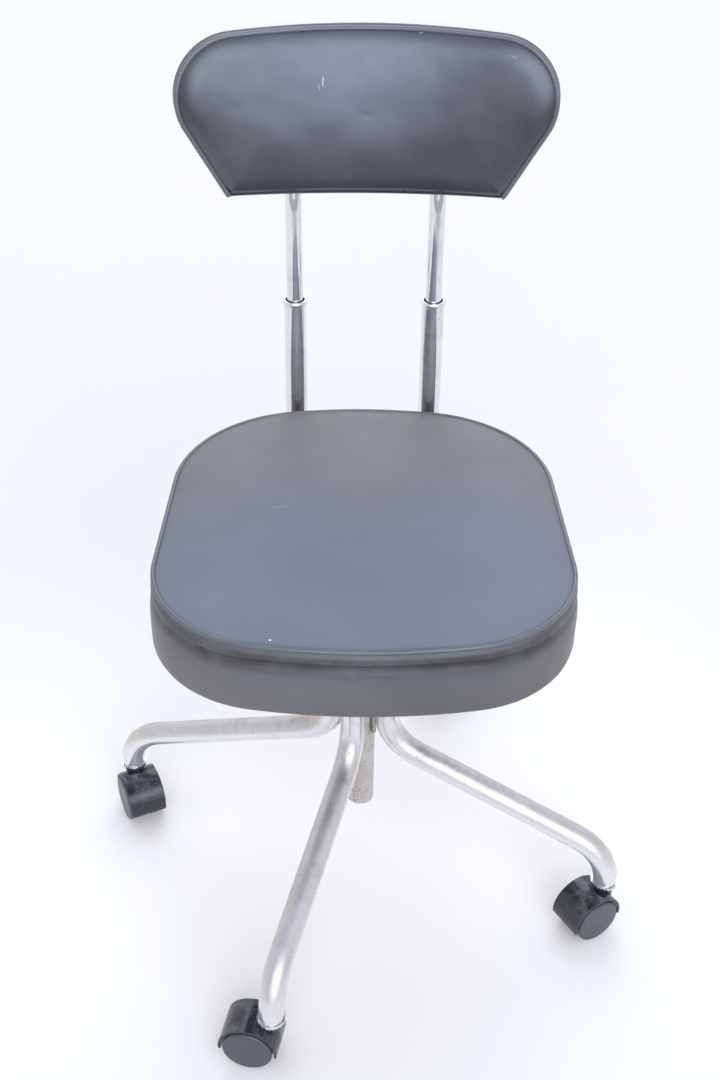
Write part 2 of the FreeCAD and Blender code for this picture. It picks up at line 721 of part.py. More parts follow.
def make_saddle_screws():
    """Screws through the straps and the plate into the seat board."""
    head, head_thick, bevel, shank, length, point = 4.6, 2.6, 1.2, 2.5, 13.0, 1.8
    foot = S["seat_under"] - S["plate_thick"] - S["saddle_thick"]
    members = []
    for x, y in screw_places():
        screw = turned("saddle_screw", [
            (0.0, -head_thick), (head - bevel, -head_thick), (head, bevel - head_thick),
            (head, 0.0), (shank, 0.0), (shank, length), (0.0, length + point)])
        place(screw, (x, y, foot))
        members.append(screw)
    group("saddle_screws", members)


# ---------------------------------------------------------------- back posts


def drill_clamp_hole(body, height, lift):
    """Clearance hole for a thumb screw, out through the body's rear."""
    clearance = 0.15
    hole = new_sketch(body, "XZ_Plane", lift)
    circle(hole, S["clamp_bore"] + clearance, 0.0, height)
    pocket(body, hole, S["post_radius"] + PAST)


def make_back_tube(label, side):
    """Lower tube: runs back under the seat, bends up behind it."""
    middle = S["seat_under"] - S["plate_thick"] - S["post_radius"]
    points = [(-S["post_front"], middle), (S["post_y"], middle), (S["post_y"], S["post_top"])]
    tube = bent_tube(f"back_tube_{label}", "YZ_Plane", points, [S["post_bend"]],
                     "XZ_Plane", S["post_front"], (0.0, middle),
                     S["post_radius"], S["post_radius"] - S["tube_wall"])
    drill_clamp_hole(tube, S["clamp_height"], -S["post_y"])
    place(tube, (S["post_x"] * side, 0, 0))
    keep(tube)


def make_collars():
    """Rolled rings on the lower tubes' upper ends."""
    inner, outer, height, bevel, lead_in = 9.3, 12.3, 5.0, 1.4, 0.6
    members = []
    for _, side in SIDES:
        collar = turned("collar_ring", [
            (inner, bevel), (inner + lead_in, 0.0), (outer - bevel, 0.0), (outer, bevel),
            (outer, height - bevel), (outer - bevel, height), (inner + bevel, height),
            (inner, height - bevel)])
        place(collar, (S["post_x"] * side, S["post_y"], S["post_top"]))
        members.append(collar)
    group("tube_collars", members)


def make_guide_bushes():
    """Sleeves in the lower tubes that guide the rods."""
    height, drop = 34.0, 2.0
    outer = S["post_radius"] - S["tube_wall"]
    bore = S["rod_radius"] + S["running_gap"]
    foot = S["post_top"] - drop - height
    members = []
    for _, side in SIDES:
        bush = turned("guide_sleeve", [(bore, 0.0), (outer, 0.0), (outer, height), (bore, height)])
        drill_clamp_hole(bush, S["clamp_height"] - foot, 0.0)
        place(bush, (S["post_x"] * side, S["post_y"], foot))
        members.append(bush)
    group("guide_bushes", members)


def make_clamp_bosses():
    """Threaded bosses on the backs of the lower tubes."""
    radius, reach = 7.0, 13.0
    members = []
    for _, side in SIDES:
        boss = new_body("clamp_boss")
        ring = new_sketch(boss, "XZ_Plane")
        circle(ring, radius)
        circle(ring, S["clamp_bore"])
        pad(boss, ring, S["post_radius"] + reach, reverse=True)
        room = new_sketch(boss, "XY_Plane", -radius - PAST)
        circle(room, S["post_radius"])
        pocket(boss, room, 2 * (radius + PAST), reverse=True)
        place(boss, (S["post_x"] * side, S["post_y"], S["clamp_height"]))
        members.append(boss)
    group("clamp_bosses", members)


def make_clamp_screw(label, side):
    """Thumb screw that holds a rod at its height."""
    tip, tip_bevel, shank = 8.25, 0.5, 3.0
    knob_foot, knob_top, knob, bevel = 25.0, 34.0, 9.5, 1.2
    groove_radius, groove_out, grooves = 1.6, 0.7, 12
    screw = turned(f"clamp_screw_{label}", [
        (0.0, tip), (shank - tip_bevel, tip), (shank, tip + tip_bevel), (shank, knob_foot),
        (knob - bevel, knob_foot), (knob, knob_foot + bevel), (knob, knob_top - bevel),
        (knob - bevel, knob_top), (0.0, knob_top)])
    groove = new_sketch(screw, "XY_Plane", knob_foot - PAST)
    circle(groove, groove_radius, knob + groove_out, 0.0)
    cut = pocket(screw, groove, knob_top - knob_foot + 2 * PAST, reverse=True)
    pattern_round(screw, cut, grooves)
    place(screw, (S["post_x"] * side, S["post_y"], S["clamp_height"]), lean=-90)
    keep(screw)


def make_rod(label, side):
    """Upper rod: slides in the lower tube, leans back behind the backrest board."""
    points = [(S["post_y"], S["rod_foot"]), (S["post_y"], S["rod_bend_z"]),
              (S["post_y"] + S["rod_run"], S["rod_bend_z"] + S["rod_rise"])]
    rod = bent_tube(f"back_rod_{label}", "YZ_Plane", points, [S["rod_bend"]],
                    "XY_Plane", S["rod_foot"], (0.0, S["post_y"]),
                    S["rod_radius"], S["rod_radius"] - S["tube_wall"])
    place(rod, (S["post_x"] * side, 0, 0))
    keep(rod)


# ---------------------------------------------------------------- backrest
#
# The backrest's own frame has its origin at the rods' bend and leans back with
# the rods.  Its layers are curved round one axis in front of the sitter, and
# each depth below is measured along the curve's radius from the rods' axes.


BOARD_THICK, FOAM_THICK, CROWN_THICK, LAYER_GAP = 6.0, 7.0, 8.0, 0.1
BOARD_REAR = -S["rod_radius"] - LAYER_GAP
BOARD_FRONT = BOARD_REAR - BOARD_THICK
WELT_FRONT = BOARD_FRONT - FOAM_THICK
CROWN = WELT_FRONT - CROWN_THICK
PAD_REAR = S["rod_radius"] + S["pad_behind"]
COVER_INSET = 5.2        # backrest's outer edge to the covers inside the welt
REAR_WIDEN = 4.8         # how much wider the rear of the backrest is, each side
POST_TURN = math.degrees(math.asin(float(S["post_x"]) / float(S["back_curve"])))
CURVE_CENTRE = -float(S["back_curve"]) * math.cos(math.radians(POST_TURN))


def back_outline(sketch, inset, widen):
    """Backrest outline: flat arched top, round upper corners, sides leaning in."""
    cx, cz = S["back_corner_x"] + widen, S["back_corner_z"]
    radius = S["back_corner_r"] - inset
    crown = S["back_top_r"] - inset
    foot = S["back_bottom"] + inset
    big, small = float(crown), float(radius)
    top_centre = float(cz) - math.sqrt((big - small) ** 2 - float(cx) ** 2)
    join = math.degrees(math.atan2(float(cz) - top_centre, float(cx)))
    lean = float(S["back_side_lean"])
    away = (small * math.cos(math.radians(lean)), -small * math.sin(math.radians(lean)))
    touch = (float(cx) + away[0], float(cz) + away[1])
    corner = touch[0] - (touch[1] - float(foot)) * math.tan(math.radians(lean))
    top = sketch.addGeometry(arc_through((0.0, top_centre), big, join, 180 - join))
    left = sketch.addGeometry(arc_through((-float(cx), float(cz)), small, 180 - join, 180 + lean))
    right = sketch.addGeometry(arc_through((float(cx), float(cz)), small, -lean, join))
    low_left, low_right = V(-corner, float(foot), 0), V(corner, float(foot), 0)
    left_side = sketch.addGeometry(Part.LineSegment(V(-touch[0], touch[1], 0), low_left))
    bottom = sketch.addGeometry(Part.LineSegment(low_left, low_right))
    right_side = sketch.addGeometry(Part.LineSegment(low_right, V(touch[0], touch[1], 0)))
    for a, b in ((top, left), (left, left_side), (right_side, right), (right, top)):
        sketch.addConstraint(Sketcher.Constraint("Tangent", a, 2, b, 1))
    for a, b in ((left_side, bottom), (bottom, right_side)):
        sketch.addConstraint(Sketcher.Constraint("Coincident", a, 2, b, 1))
    fix(sketch, "Radius", top, crown)
    for arc, x in ((left, -cx), (right, cx)):
        fix(sketch, "Radius", arc, radius)
        pin_point(sketch, arc, 3, x, cz)
    sketch.addConstraint(Sketcher.Constraint("Horizontal", bottom))
    fix(sketch, "DistanceY", -1, 1, bottom, 1, foot)
    for line, sign in ((left_side, -1), (right_side, 1)):
        angle = math.radians(90 - lean) * sign
        sketch.addConstraint(Sketcher.Constraint("Angle", line, angle))


def curved_slab(body, front, rear):
    """Slab between two arcs round the backrest's curve, taller than the backrest."""
    half_width, height, foot = 215.0, 190.0, -5.0
    slab = new_sketch(body, "XY_Plane", foot)
    arcs = []
    for depth in (front, rear):
        radius = S["back_curve"] + depth
        half = math.degrees(math.asin(half_width / float(radius)))
        arc = arc_through((0.0, CURVE_CENTRE), float(radius), 90 - half, 90 + half)
        arcs.append(slab.addGeometry(arc))
        fix(slab, "Radius", arcs[-1], radius)
    inner, outer = (slab.Geometry[a] for a in arcs)
    right = slab.addGeometry(Part.LineSegment(inner.StartPoint, outer.StartPoint))
    left = slab.addGeometry(Part.LineSegment(inner.EndPoint, outer.EndPoint))
    for arc, end in zip(arcs, (1, 2)):
        sketch_join(slab, arc, 1, right, end)
        sketch_join(slab, arc, 2, left, end)
        pin_point(slab, arc, 3, 0.0, CURVE_CENTRE)
    for line, sign in ((right, 1), (left, -1)):
        slab.addConstraint(Sketcher.Constraint("Vertical", line))
        fix(slab, "DistanceX", -1, 1, line, 1, sign * half_width)
    return pad(body, slab, height)


def sketch_join(sketch, first, first_end, second, second_end):
    sketch.addConstraint(
        Sketcher.Constraint("Coincident", first, first_end, second, second_end))


def trim_to_outline(body, inset, widen):
    """Cut a curved slab down to the backrest's outline."""
    margin = 260.0
    sketch = new_sketch(body, "XZ_Plane")
    rectangle(sketch, -margin, -margin, margin, margin)
    back_outline(sketch, inset, widen)
    pocket(body, sketch, THROUGH, side="Symmetric")


def curved_piece(label, front, rear, inset=0.0, widen=0.0):
    body = new_body(label)
    curved_slab(body, front, rear)
    trim_to_outline(body, inset, widen)
    place(body, (0, S["post_y"], S["rod_bend_z"]), lean=-LEAN)
    return body


def make_back_board():
    """Bent plywood board between the cushion and the rods, with pilot holes."""
    edge_inset, widen, pilot = 8.0, 2.0, 2.0
    board = curved_piece("back_board", BOARD_FRONT, BOARD_REAR, edge_inset, widen)
    for _, side in SIDES:
        holes = new_sketch(board, "XZ_Plane")
        face_curve(holes, side, V(0, 1, 0))
        for x, height in strap_screw_places():
            circle(holes, pilot, x, height)
        pocket(board, holes, THROUGH, side="Symmetric")
    keep(board)


def make_back_cushion():
    """Front pad, plain: a slab and a raised crown."""
    crown_inset = 24.0
    slab = curved_piece("back_cushion_slab", WELT_FRONT, BOARD_FRONT - LAYER_GAP, COVER_INSET)
    crown = curved_piece("back_cushion_crown", CROWN, WELT_FRONT, crown_inset)
    cushion = doc.addObject("Part::Fuse", "back_cushion")
    cushion.Label = "back_cushion"
    cushion.Base = slab
    cushion.Tool = crown
    keep(cushion)


def make_back_pad():
    """Rear pad, with a round channel for each rod and a flat one for its straps."""
    flat_half, flat_rear, channel_top, gap = 19.5, -2.0, 145.0, 1.35
    front = BOARD_REAR + LAYER_GAP
    rear_pad = curved_piece("back_pad", front, PAD_REAR, COVER_INSET, REAR_WIDEN)
    for _, side in SIDES:
        channel = new_sketch(rear_pad, "XY_Plane")
        circle(channel, S["rod_radius"] + gap, S["post_x"] * side, 0.0)
        pocket(rear_pad, channel, channel_top, reverse=True)
        flat = new_sketch(rear_pad, "XY_Plane")
        face_curve(flat, side, V(0, 0, 1))
        rectangle(flat, -flat_half, -S["rod_radius"] * 2, flat_half, flat_rear)
        pocket(rear_pad, flat, channel_top, reverse=True)
    keep(rear_pad)


def make_back_welt(label, middle, widen):
    half = S["welt"] * 0.5
    welt = curved_piece(f"back_welt_{label}", middle - half, middle + half, widen=widen)
    hollow = new_sketch(welt, "XZ_Plane")
    back_outline(hollow, S["welt"], widen)
    pocket(welt, hollow, THROUGH, side="Symmetric")
    keep(welt)


STRAP_THICK = 1.0


def strap_screw_places():
    """Where the strap screws of one rod go, seen square to the curved board."""
    return [(S["strap_screw_x"] * across, height)
            for height in ROD_STRAP_Z for across in (-1, 1)]


def face_curve(sketch, side, upright):
    """Move a sketch to a rod's axis and turn it square to the curve there."""
    square = FreeCAD.Rotation(upright, -side * POST_TURN)
    sketch.AttachmentOffset = FreeCAD.Placement(V(side * float(S["post_x"]), 0, 0), square)


def place_on_back(obj, side, height, across=0.0):
    """Put obj beside a rod's axis, square to the curve, at a height up the backrest."""
    foot = V(side * float(S["post_x"]), float(S["post_y"]), float(S["rod_bend_z"]))
    lean = FreeCAD.Rotation(V(1, 0, 0), -LEAN)
    turn = lean * FreeCAD.Rotation(V(0, 0, 1), -side * POST_TURN)
    obj.Placement = FreeCAD.Placement(foot + turn.multVec(V(float(across), 0, height)), turn)


def make_rod_straps():
    """Four straps that hold the rods to the board."""
    width, half_x, hole_radius = 14.0, 18.5, 2.0
    thick, wall = STRAP_THICK, -float(S["rod_radius"])
    radius = float(S["rod_radius"]) + float(S["running_gap"])
    members = []
    for _, side in SIDES:
        for height in ROD_STRAP_Z:
            strap = new_body("rod_strap")
            outer = radius + thick
            section = new_sketch(strap, "XY_Plane")
            for start, finish in (
                    ((-radius, 0), (-radius, wall)), ((-radius, wall), (-half_x, wall)),
                    ((-half_x, wall), (-half_x, wall + thick)),
                    ((-half_x, wall + thick), (-outer, wall + thick)),
                    ((-outer, wall + thick), (-outer, 0)), ((outer, 0), (outer, wall + thick)),
                    ((outer, wall + thick), (half_x, wall + thick)),
                    ((half_x, wall + thick), (half_x, wall)), ((half_x, wall), (radius, wall)),
                    ((radius, wall), (radius, 0))):
                section.addGeometry(Part.LineSegment(V(*start, 0), V(*finish, 0)))
            section.addGeometry(arc_through((0, 0), outer, 0, 180))
            section.addGeometry(arc_through((0, 0), radius, 0, 180))
            pad(strap, section, width, side="Symmetric")
            holes = new_sketch(strap, "XZ_Plane")
            for across in (-1, 1):
                circle(holes, hole_radius, S["strap_screw_x"] * across, 0.0)
            pocket(strap, holes, THROUGH, side="Symmetric")
            place_on_back(strap, side, height)
            members.append(strap)
    group("rod_straps", members)


def make_strap_screws():
    """Screws through the rod straps into the board."""
    head, head_thick, bevel, shank, length, point = 3.4, 1.6, 0.8, 1.95, 4.6, 1.2
    wall = STRAP_THICK - float(S["rod_radius"])
    members = []
    for _, side in SIDES:
        for x, height in strap_screw_places():
            screw = turned("strap_screw", [
                (0.0, wall - length - point), (shank, wall - length), (shank, wall),
                (head, wall), (head, wall + bevel), (head - bevel, wall + head_thick),
                (0.0, wall + head_thick)], plane="XY_Plane", axis="Y_Axis")
            place_on_back(screw, side, height, x)
            members.append(screw)
    group("strap_screws", members)


# ---------------------------------------------------------------- the whole stool


def make_seat():
    make_seat_board()
    make_seat_cushion()
    make_seat_welt()
    make_seat_plate()
    make_swivel_hub()
    make_saddles()
    make_saddle_screws()
    for label, side in SIDES:
        make_back_tube(label, side)
    make_collars()
    make_guide_bushes()
    make_clamp_bosses()


def make_back():
    for label, side in SIDES:
        make_clamp_screw(label, side)
        make_rod(label, side)
    make_back_board()
    make_back_cushion()
    make_back_pad()
    make_back_welt("front", WELT_FRONT, 0.0)
    make_back_welt("rear", PAD_REAR, REAR_WIDEN)
    make_rod_straps()
    make_strap_screws()


def check_and_write():
    doc.recompute()
    for obj in doc.Objects:
        if "Invalid" in obj.State or "Error" in obj.State:
            raise RuntimeError(f"{obj.Label} failed: {obj.State}")
    for part in subparts:
        if part.Shape.isNull() or not part.Shape.isValid():
            raise RuntimeError(f"{part.Label} has no valid shape")
    os.makedirs("parts", exist_ok=True)
    for part in subparts:
        part.Shape.exportStep(os.path.join("parts", part.Label + ".step"))
    print(len(subparts), "sub-parts written")


make_base()
for leg_name, leg_azimuth in LEGS:
    make_caster(leg_name, leg_azimuth)
make_spindle()
make_thrust_washer()
make_height_nut()
make_seat()
make_back()
check_and_write()
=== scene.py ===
import json
import math

import bmesh
import bpy
import numpy as np
from mathutils import Matrix, Vector, noise
from mathutils.kdtree import KDTree

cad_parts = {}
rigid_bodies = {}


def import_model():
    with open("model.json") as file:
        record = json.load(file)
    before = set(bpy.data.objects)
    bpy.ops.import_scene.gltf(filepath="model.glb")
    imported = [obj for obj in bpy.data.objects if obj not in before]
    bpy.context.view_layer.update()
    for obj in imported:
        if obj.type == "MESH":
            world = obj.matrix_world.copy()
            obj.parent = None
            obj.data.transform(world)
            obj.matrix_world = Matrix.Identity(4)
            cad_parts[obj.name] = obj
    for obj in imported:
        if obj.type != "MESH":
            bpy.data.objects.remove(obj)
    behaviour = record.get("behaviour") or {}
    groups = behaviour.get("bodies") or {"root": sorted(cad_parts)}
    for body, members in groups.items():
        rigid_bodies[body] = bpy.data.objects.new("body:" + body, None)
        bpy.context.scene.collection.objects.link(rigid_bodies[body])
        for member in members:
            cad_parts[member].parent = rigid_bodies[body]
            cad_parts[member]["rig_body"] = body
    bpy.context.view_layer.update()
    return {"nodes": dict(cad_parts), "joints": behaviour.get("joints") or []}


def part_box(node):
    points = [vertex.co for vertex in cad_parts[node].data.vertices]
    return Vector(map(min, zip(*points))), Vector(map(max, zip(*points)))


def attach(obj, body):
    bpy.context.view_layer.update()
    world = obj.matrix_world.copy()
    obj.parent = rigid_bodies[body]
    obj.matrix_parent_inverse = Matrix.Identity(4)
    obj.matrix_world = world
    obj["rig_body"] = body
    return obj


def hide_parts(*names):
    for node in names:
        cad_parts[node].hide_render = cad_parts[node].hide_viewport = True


# Looks of the dentist stool: covers, piping, casters, metal finishes, floor, light
# and camera, all in metres in the frame of the CAD model. +Z is up, and somebody who
# sits on the stool looks along -Y.

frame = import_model()

MM = 0.001
LEGS = ("front", "right", "rear", "left")
SIDES = (("left", -1), ("right", 1))
JOINTS = {joint["name"]: joint for joint in frame["joints"]}


# ---------------------------------------------------------------- node materials

# Noise and cell scales are per metre, and bump distances are in metres.


class Graph:
    """The nodes of a material or a world, with the few kinds that this scene uses."""

    def __init__(self, owner, shader, coordinates):
        owner.use_nodes = True
        self.owner = owner
        self.nodes = owner.node_tree.nodes
        self.links = owner.node_tree.links
        self.shader = self.nodes[shader]
        self.place = self.nodes.new("ShaderNodeTexCoord").outputs[coordinates]

    def node(self, kind, **inputs):
        made = self.nodes.new(kind)
        for name, value in inputs.items():
            self.feed(made.inputs[name.replace("_", " ")], value)
        return made

    def feed(self, socket, value):
        if isinstance(value, bpy.types.NodeSocket):
            self.links.new(value, socket)
        else:
            socket.default_value = value

    def stretched(self, scale):
        """The object's own coordinates, scaled along X, Y and Z."""
        mapping = self.node("ShaderNodeMapping", Vector=self.place, Scale=scale)
        return mapping.outputs["Vector"]

    def coordinate(self, axis):
        return self.node("ShaderNodeSeparateXYZ", Vector=self.place).outputs[axis]

    def upward(self):
        """1 on faces that look up, 0 on upright ones and -1 on those that look down."""
        normal = self.nodes.new("ShaderNodeNewGeometry").outputs["Normal"]
        return self.node("ShaderNodeSeparateXYZ", Vector=normal).outputs["Z"]

    def noise(self, scale, detail=3.0, roughness=0.55, vector=None):
        made = self.node("ShaderNodeTexNoise", Vector=vector or self.place, Scale=scale,
                         Detail=detail, Roughness=roughness)
        return made.outputs["Fac"]

    def cells(self, scale):
        made = self.node("ShaderNodeTexVoronoi", Vector=self.place, Scale=scale)
        return made.outputs["Distance"]

    def ramp(self, value, low, high, start=0.0, end=1.0):
        """value between low and high, spread smoothly over start to end."""
        made = self.nodes.new("ShaderNodeMapRange")
        made.interpolation_type = "SMOOTHSTEP"
        for name, number in (("Value", value), ("From Min", low), ("From Max", high),
                             ("To Min", start), ("To Max", end)):
            self.feed(made.inputs[name], number)
        return made.outputs["Result"]

    def math(self, operation, first, second):
        made = self.nodes.new("ShaderNodeMath")
        made.operation = operation
        self.feed(made.inputs[0], first)
        if second is not None:
            self.feed(made.inputs[1], second)
        return made.outputs["Value"]

    def times(self, first, second):
        return self.math("MULTIPLY", first, second)

    def vector_math(self, operation, first, second, output="Vector"):
        made = self.nodes.new("ShaderNodeVectorMath")
        made.operation = operation
        self.feed(made.inputs[0], first)
        if second is not None:
            self.feed(made.inputs[1], second)
        return made.outputs[output]

    def length(self, vector):
        return self.vector_math("LENGTH", vector, None, "Value")

    def mix(self, amount, first, second):
        """Colour first where amount is 0 and second where it is 1."""
        made = self.nodes.new("ShaderNodeMix")
        made.data_type = "RGBA"
        amount_socket, first_socket, second_socket = (made.inputs[i] for i in (0, 6, 7))
        self.feed(amount_socket, amount)
        self.feed(first_socket, first)
        self.feed(second_socket, second)
        return made.outputs[2]

    def scratch(self, middle, along, half_length, half_width, across):
        """1 on a short straight mark at middle, in metres, whatever the place along across."""
        keep = Vector((1.0, 1.0, 1.0)) - Vector(across)
        along = (Vector(along) * keep).normalized()
        seen = self.vector_math("MULTIPLY", self.place, keep)
        away = self.vector_math("SUBTRACT", seen, Vector(middle) * keep)
        reach = self.vector_math("DOT_PRODUCT", away, along, "Value")
        clipped = self.math("MAXIMUM", self.math("MINIMUM", reach, half_length), -half_length)
        spot = self.nodes.new("ShaderNodeVectorMath")
        spot.operation = "SCALE"
        spot.inputs[0].default_value = along
        self.feed(spot.inputs["Scale"], clipped)
        gap = self.length(self.vector_math("SUBTRACT", away, spot.outputs[0]))
        return self.ramp(gap, half_width, half_width * 0.4)

    def bump(self, height, strength, distance, under=None):
        made = self.node("ShaderNodeBump", Height=height, Strength=strength, Distance=distance)
        if under is not None:
            self.feed(made.inputs["Normal"], under)
        return made.outputs["Normal"]

    def finish(self, **sockets):
        for name, value in sockets.items():
            self.feed(self.shader.inputs[name.replace("_", " ")], value)
        return self.owner


def new_look(name):
    return Graph(bpy.data.materials.new(name), "Principled BSDF", "Object")


def grey(value, warm=0.0):
    """A grey, warmer for a positive warm and bluer for a negative one."""
    return (value * (1 + warm), value, value * (1 - warm), 1.0)


VINYL_DUST, VINYL_SPECK, VINYL_SCRATCH = grey(0.13, 0.02), grey(0.17, 0.02), grey(0.75)
# Colour of the seat side's fold: painted shade, tinted brown like grime.
FOLD_SHADE_AND_GRIME = grey(0.022, 0.16)
POLISHED, UNDERSIDE = grey(0.70, 0.04), grey(0.74, 0.02)
RUST_FILM, RUST_PIT = (0.36, 0.28, 0.20, 1.0), (0.10, 0.085, 0.065, 1.0)


def rear_reflection_share(g):
    """How far back on the seat a place is, 0 to 1, with a wandering border: where the painted
    reflection tone goes.
    """
    wander = g.times(g.noise(7.0, 4.0, 0.6), 0.16)
    return g.ramp(g.math("ADD", g.coordinate("Y"), wander), -0.01, 0.20)


def sheen_share(g, middle, reach):
    """Painted sheen: 1 in the middle of a wide, blurred oval in the XZ plane, 0 from reach on."""
    oval = Vector((0.55, 0.0, 1.0))
    away = g.vector_math("MULTIPLY", g.vector_math("SUBTRACT", g.place, Vector(middle)), oval)
    wander = g.times(g.noise(9.0, 3.0), 0.03)
    return g.ramp(g.math("ADD", g.length(away), wander), reach, 0.2 * reach)


def fold_shade_share(g, fold_z):
    """Painted shade with a grime tint in the fold at the height fold_z, most of it at the seat's
    front.
    """
    near = g.math("ABSOLUTE", g.math("SUBTRACT", g.coordinate("Z"), fold_z), None)
    in_front = g.ramp(g.coordinate("Y"), 0.06, -0.15, 0.15, 0.97)
    patchy = g.ramp(g.noise(34.0, 4.0, 0.65), 0.30, 0.62, 0.45, 1.0)
    return g.times(g.times(g.ramp(near, 17 * MM, 2 * MM), in_front), patchy)


def ribbed(g, pitch, depth, under):
    """Normal of fine level ribs that wobble and fade in places."""
    wobble = g.times(g.noise(60.0, 2.0), pitch * 0.35)
    along = g.math("ADD", g.coordinate("Z"), wobble)
    wave = g.math("SINE", g.times(along, 2 * math.pi / pitch), None)
    broken = g.ramp(g.noise(240.0, 2.0, 0.5, g.stretched((1.0, 1.0, 4.0))), 0.3, 0.7, 0.2, 1.0)
    return g.bump(g.times(wave, broken), 1.0, depth, under)


def vinyl(name, dark, pale, rough, gloss, rear=None, painted_sheen=None, fold_z=None, ribs=None,
          scratches=(), across=(0, 0, 1)):
    """Upholstery vinyl: soft patches of two tones, pale dust and fine grain.

    rear is another tone for the back of the seat, a painted reflection; painted_sheen is
    (middle, reach, tone) of a painted sheen, a lighter blurred middle; and ribs is
    (pitch, depth). A scratch is (middle, direction, half length, half width,
    strength), and the axis across points through the surface there.
    """
    g = new_look(name)
    colour = g.mix(g.ramp(g.noise(5.0, 2.0), 0.35, 0.7), dark, pale)
    # Painted reflection: a warmer tone over the back of the seat top.
    if rear:
        colour = g.mix(rear_reflection_share(g), colour, rear)
    # Painted sheen: a lighter, blurred middle that stands in for the sky's reflection.
    if painted_sheen:
        middle, reach, tone = painted_sheen
        colour = g.mix(sheen_share(g, middle, reach), colour, tone)
    streaks = g.noise(12.0, 2.5, 0.45, g.stretched((0.6, 0.35, 1.3)))
    colour = g.mix(g.ramp(streaks, 0.42, 0.82, 0.0, 0.20), colour, VINYL_DUST)
    colour = g.mix(g.ramp(g.noise(520.0, 2.0), 0.70, 0.80, 0.0, 0.18), colour, VINYL_SPECK)
    # Painted shade in the fold under the piping, tinted like grime.
    if fold_z:
        colour = g.mix(fold_shade_share(g, fold_z), colour, FOLD_SHADE_AND_GRIME)
    for *mark, strength in scratches:
        colour = g.mix(g.times(g.scratch(*mark, across), strength), colour, VINYL_SCRATCH)
    normal = g.bump(g.cells(1500.0), 0.08, 0.0002)
    if ribs:
        normal = ribbed(g, *ribs, normal)
    roughness = g.ramp(g.noise(22.0, 4.0, 0.6), 0.3, 0.75, rough - 0.04, rough + 0.07)
    g.shader.inputs["Specular IOR Level"].default_value = gloss
    return g.finish(Base_Color=colour, Roughness=roughness, Normal=normal)


def chrome(name, clean, worn, smooth, dull, pits=0.0, pit_low=0.0, bright_below=0.0, metal=1.0):
    """Chrome plate with hazy patches and, where pits is above 0, rust.

    Above the height pit_low there is more rust, and where pit_low is given, what doesn't
    face up is cleaner. Below the height bright_below the plate is paler and glossier.
    """
    g = new_look(name)
    colour = g.mix(g.ramp(g.noise(17.0, 6.0, 0.72), 0.36, 0.70), clean, worn)
    roughness = g.ramp(g.noise(48.0, 5.0, 0.7), 0.3, 0.75, smooth, dull)
    if bright_below:
        low = g.ramp(g.coordinate("Z"), bright_below, bright_below - 0.05)
        roughness = g.times(roughness, g.math("SUBTRACT", 1.0, g.times(low, 0.45)))
        colour = g.mix(g.times(low, 0.6), colour, POLISHED)
    normal = g.bump(g.noise(1300.0, 2.0), 0.05, 0.0001)
    if pits:
        film = g.ramp(g.noise(42.0, 6.0, 0.75), 0.50, 0.66)
        film = g.times(film, g.ramp(g.upward(), 0.0, 0.8, 0.25, 0.6))
        spots = g.ramp(g.cells(420.0), 0.16, 0.42, 1.0, 0.0)
        groups = g.ramp(g.noise(60.0, 5.0, 0.75), 0.63 - 0.09 * pits, 0.70 - 0.07 * pits)
        mask = g.times(g.times(spots, groups), 0.85)
        if pit_low:
            height = g.coordinate("Z")
            film = g.times(film, g.ramp(height, pit_low - 0.08, pit_low + 0.02, 0.2, 1.0))
            mask = g.times(mask, g.ramp(height, pit_low - 0.05, pit_low + 0.03, 0.3, 1.0))
            top = g.ramp(g.upward(), 0.0, 0.55)
            roughness = g.times(roughness, g.ramp(top, 0.0, 1.0, 0.40, 1.0))
            colour = g.mix(top, UNDERSIDE, colour)
        colour = g.mix(mask, g.mix(film, colour, RUST_FILM), RUST_PIT)
        roughness = g.math("MAXIMUM", roughness, g.times(mask, 0.75))
        normal = g.bump(mask, 0.5, -0.0002, normal)
    return g.finish(Base_Color=colour, Roughness=roughness, Normal=normal, Metallic=metal)


def dusty_plastic(name, base, dust, smooth, dull, dust_level):
    """Glossy moulding with dust and smears on what faces up."""
    g = new_look(name)
    smears = g.ramp(g.noise(44.0, 7.0, 0.8, g.stretched((1.0, 1.0, 0.4))), 0.46, 0.66)
    settled = g.times(g.ramp(g.upward(), 0.25, 0.95), smears)
    amount = g.times(settled, dust_level)
    colour = g.mix(amount, base, dust)
    roughness = g.ramp(g.math("ADD", g.times(amount, 0.8), g.noise(120.0, 3.0)),
                       0.4, 1.3, smooth, dull)
    normal = g.bump(g.noise(900.0, 2.0), 0.05, 0.0001)
    return g.finish(Base_Color=colour, Roughness=roughness, Normal=normal)


def painted(name, colour, worn, rough):
    """Paint or plating with a faint orange peel and rubbed spots."""
    g = new_look(name)
    rubbed = g.ramp(g.noise(90.0, 5.0, 0.7), 0.62, 0.72)
    normal = g.bump(g.noise(700.0, 2.0), 0.12, 0.0002)
    roughness = g.ramp(g.noise(60.0, 3.0), 0.3, 0.7, rough, rough + 0.15)
    return g.finish(Base_Color=g.mix(rubbed, colour, worn), Roughness=roughness, Normal=normal)


def turned_metal(name, colour, oiled, rough):
    """Machined metal with fine turning marks."""
    g = new_look(name)
    marks = g.noise(500.0, 2.0, 0.5, g.stretched((0.2, 0.2, 6.0)))
    stain = g.ramp(g.noise(60.0, 4.0, 0.6), 0.5, 0.75)
    return g.finish(Base_Color=g.mix(stain, colour, oiled), Metallic=1.0,
                    Roughness=g.ramp(marks, 0.3, 0.7, rough, rough + 0.2),
                    Normal=g.bump(marks, 0.15, 0.0001))


def plywood(name, dark, pale):
    """Plywood, grain along the seat's depth."""
    g = new_look(name)
    grain = g.noise(60.0, 6.0, 0.7, g.stretched((6.0, 0.35, 6.0)))
    colour = g.mix(g.ramp(grain, 0.3, 0.7), dark, pale)
    return g.finish(Base_Color=colour, Roughness=g.ramp(grain, 0.3, 0.7, 0.55, 0.75),
                    Normal=g.bump(grain, 0.3, 0.0003))


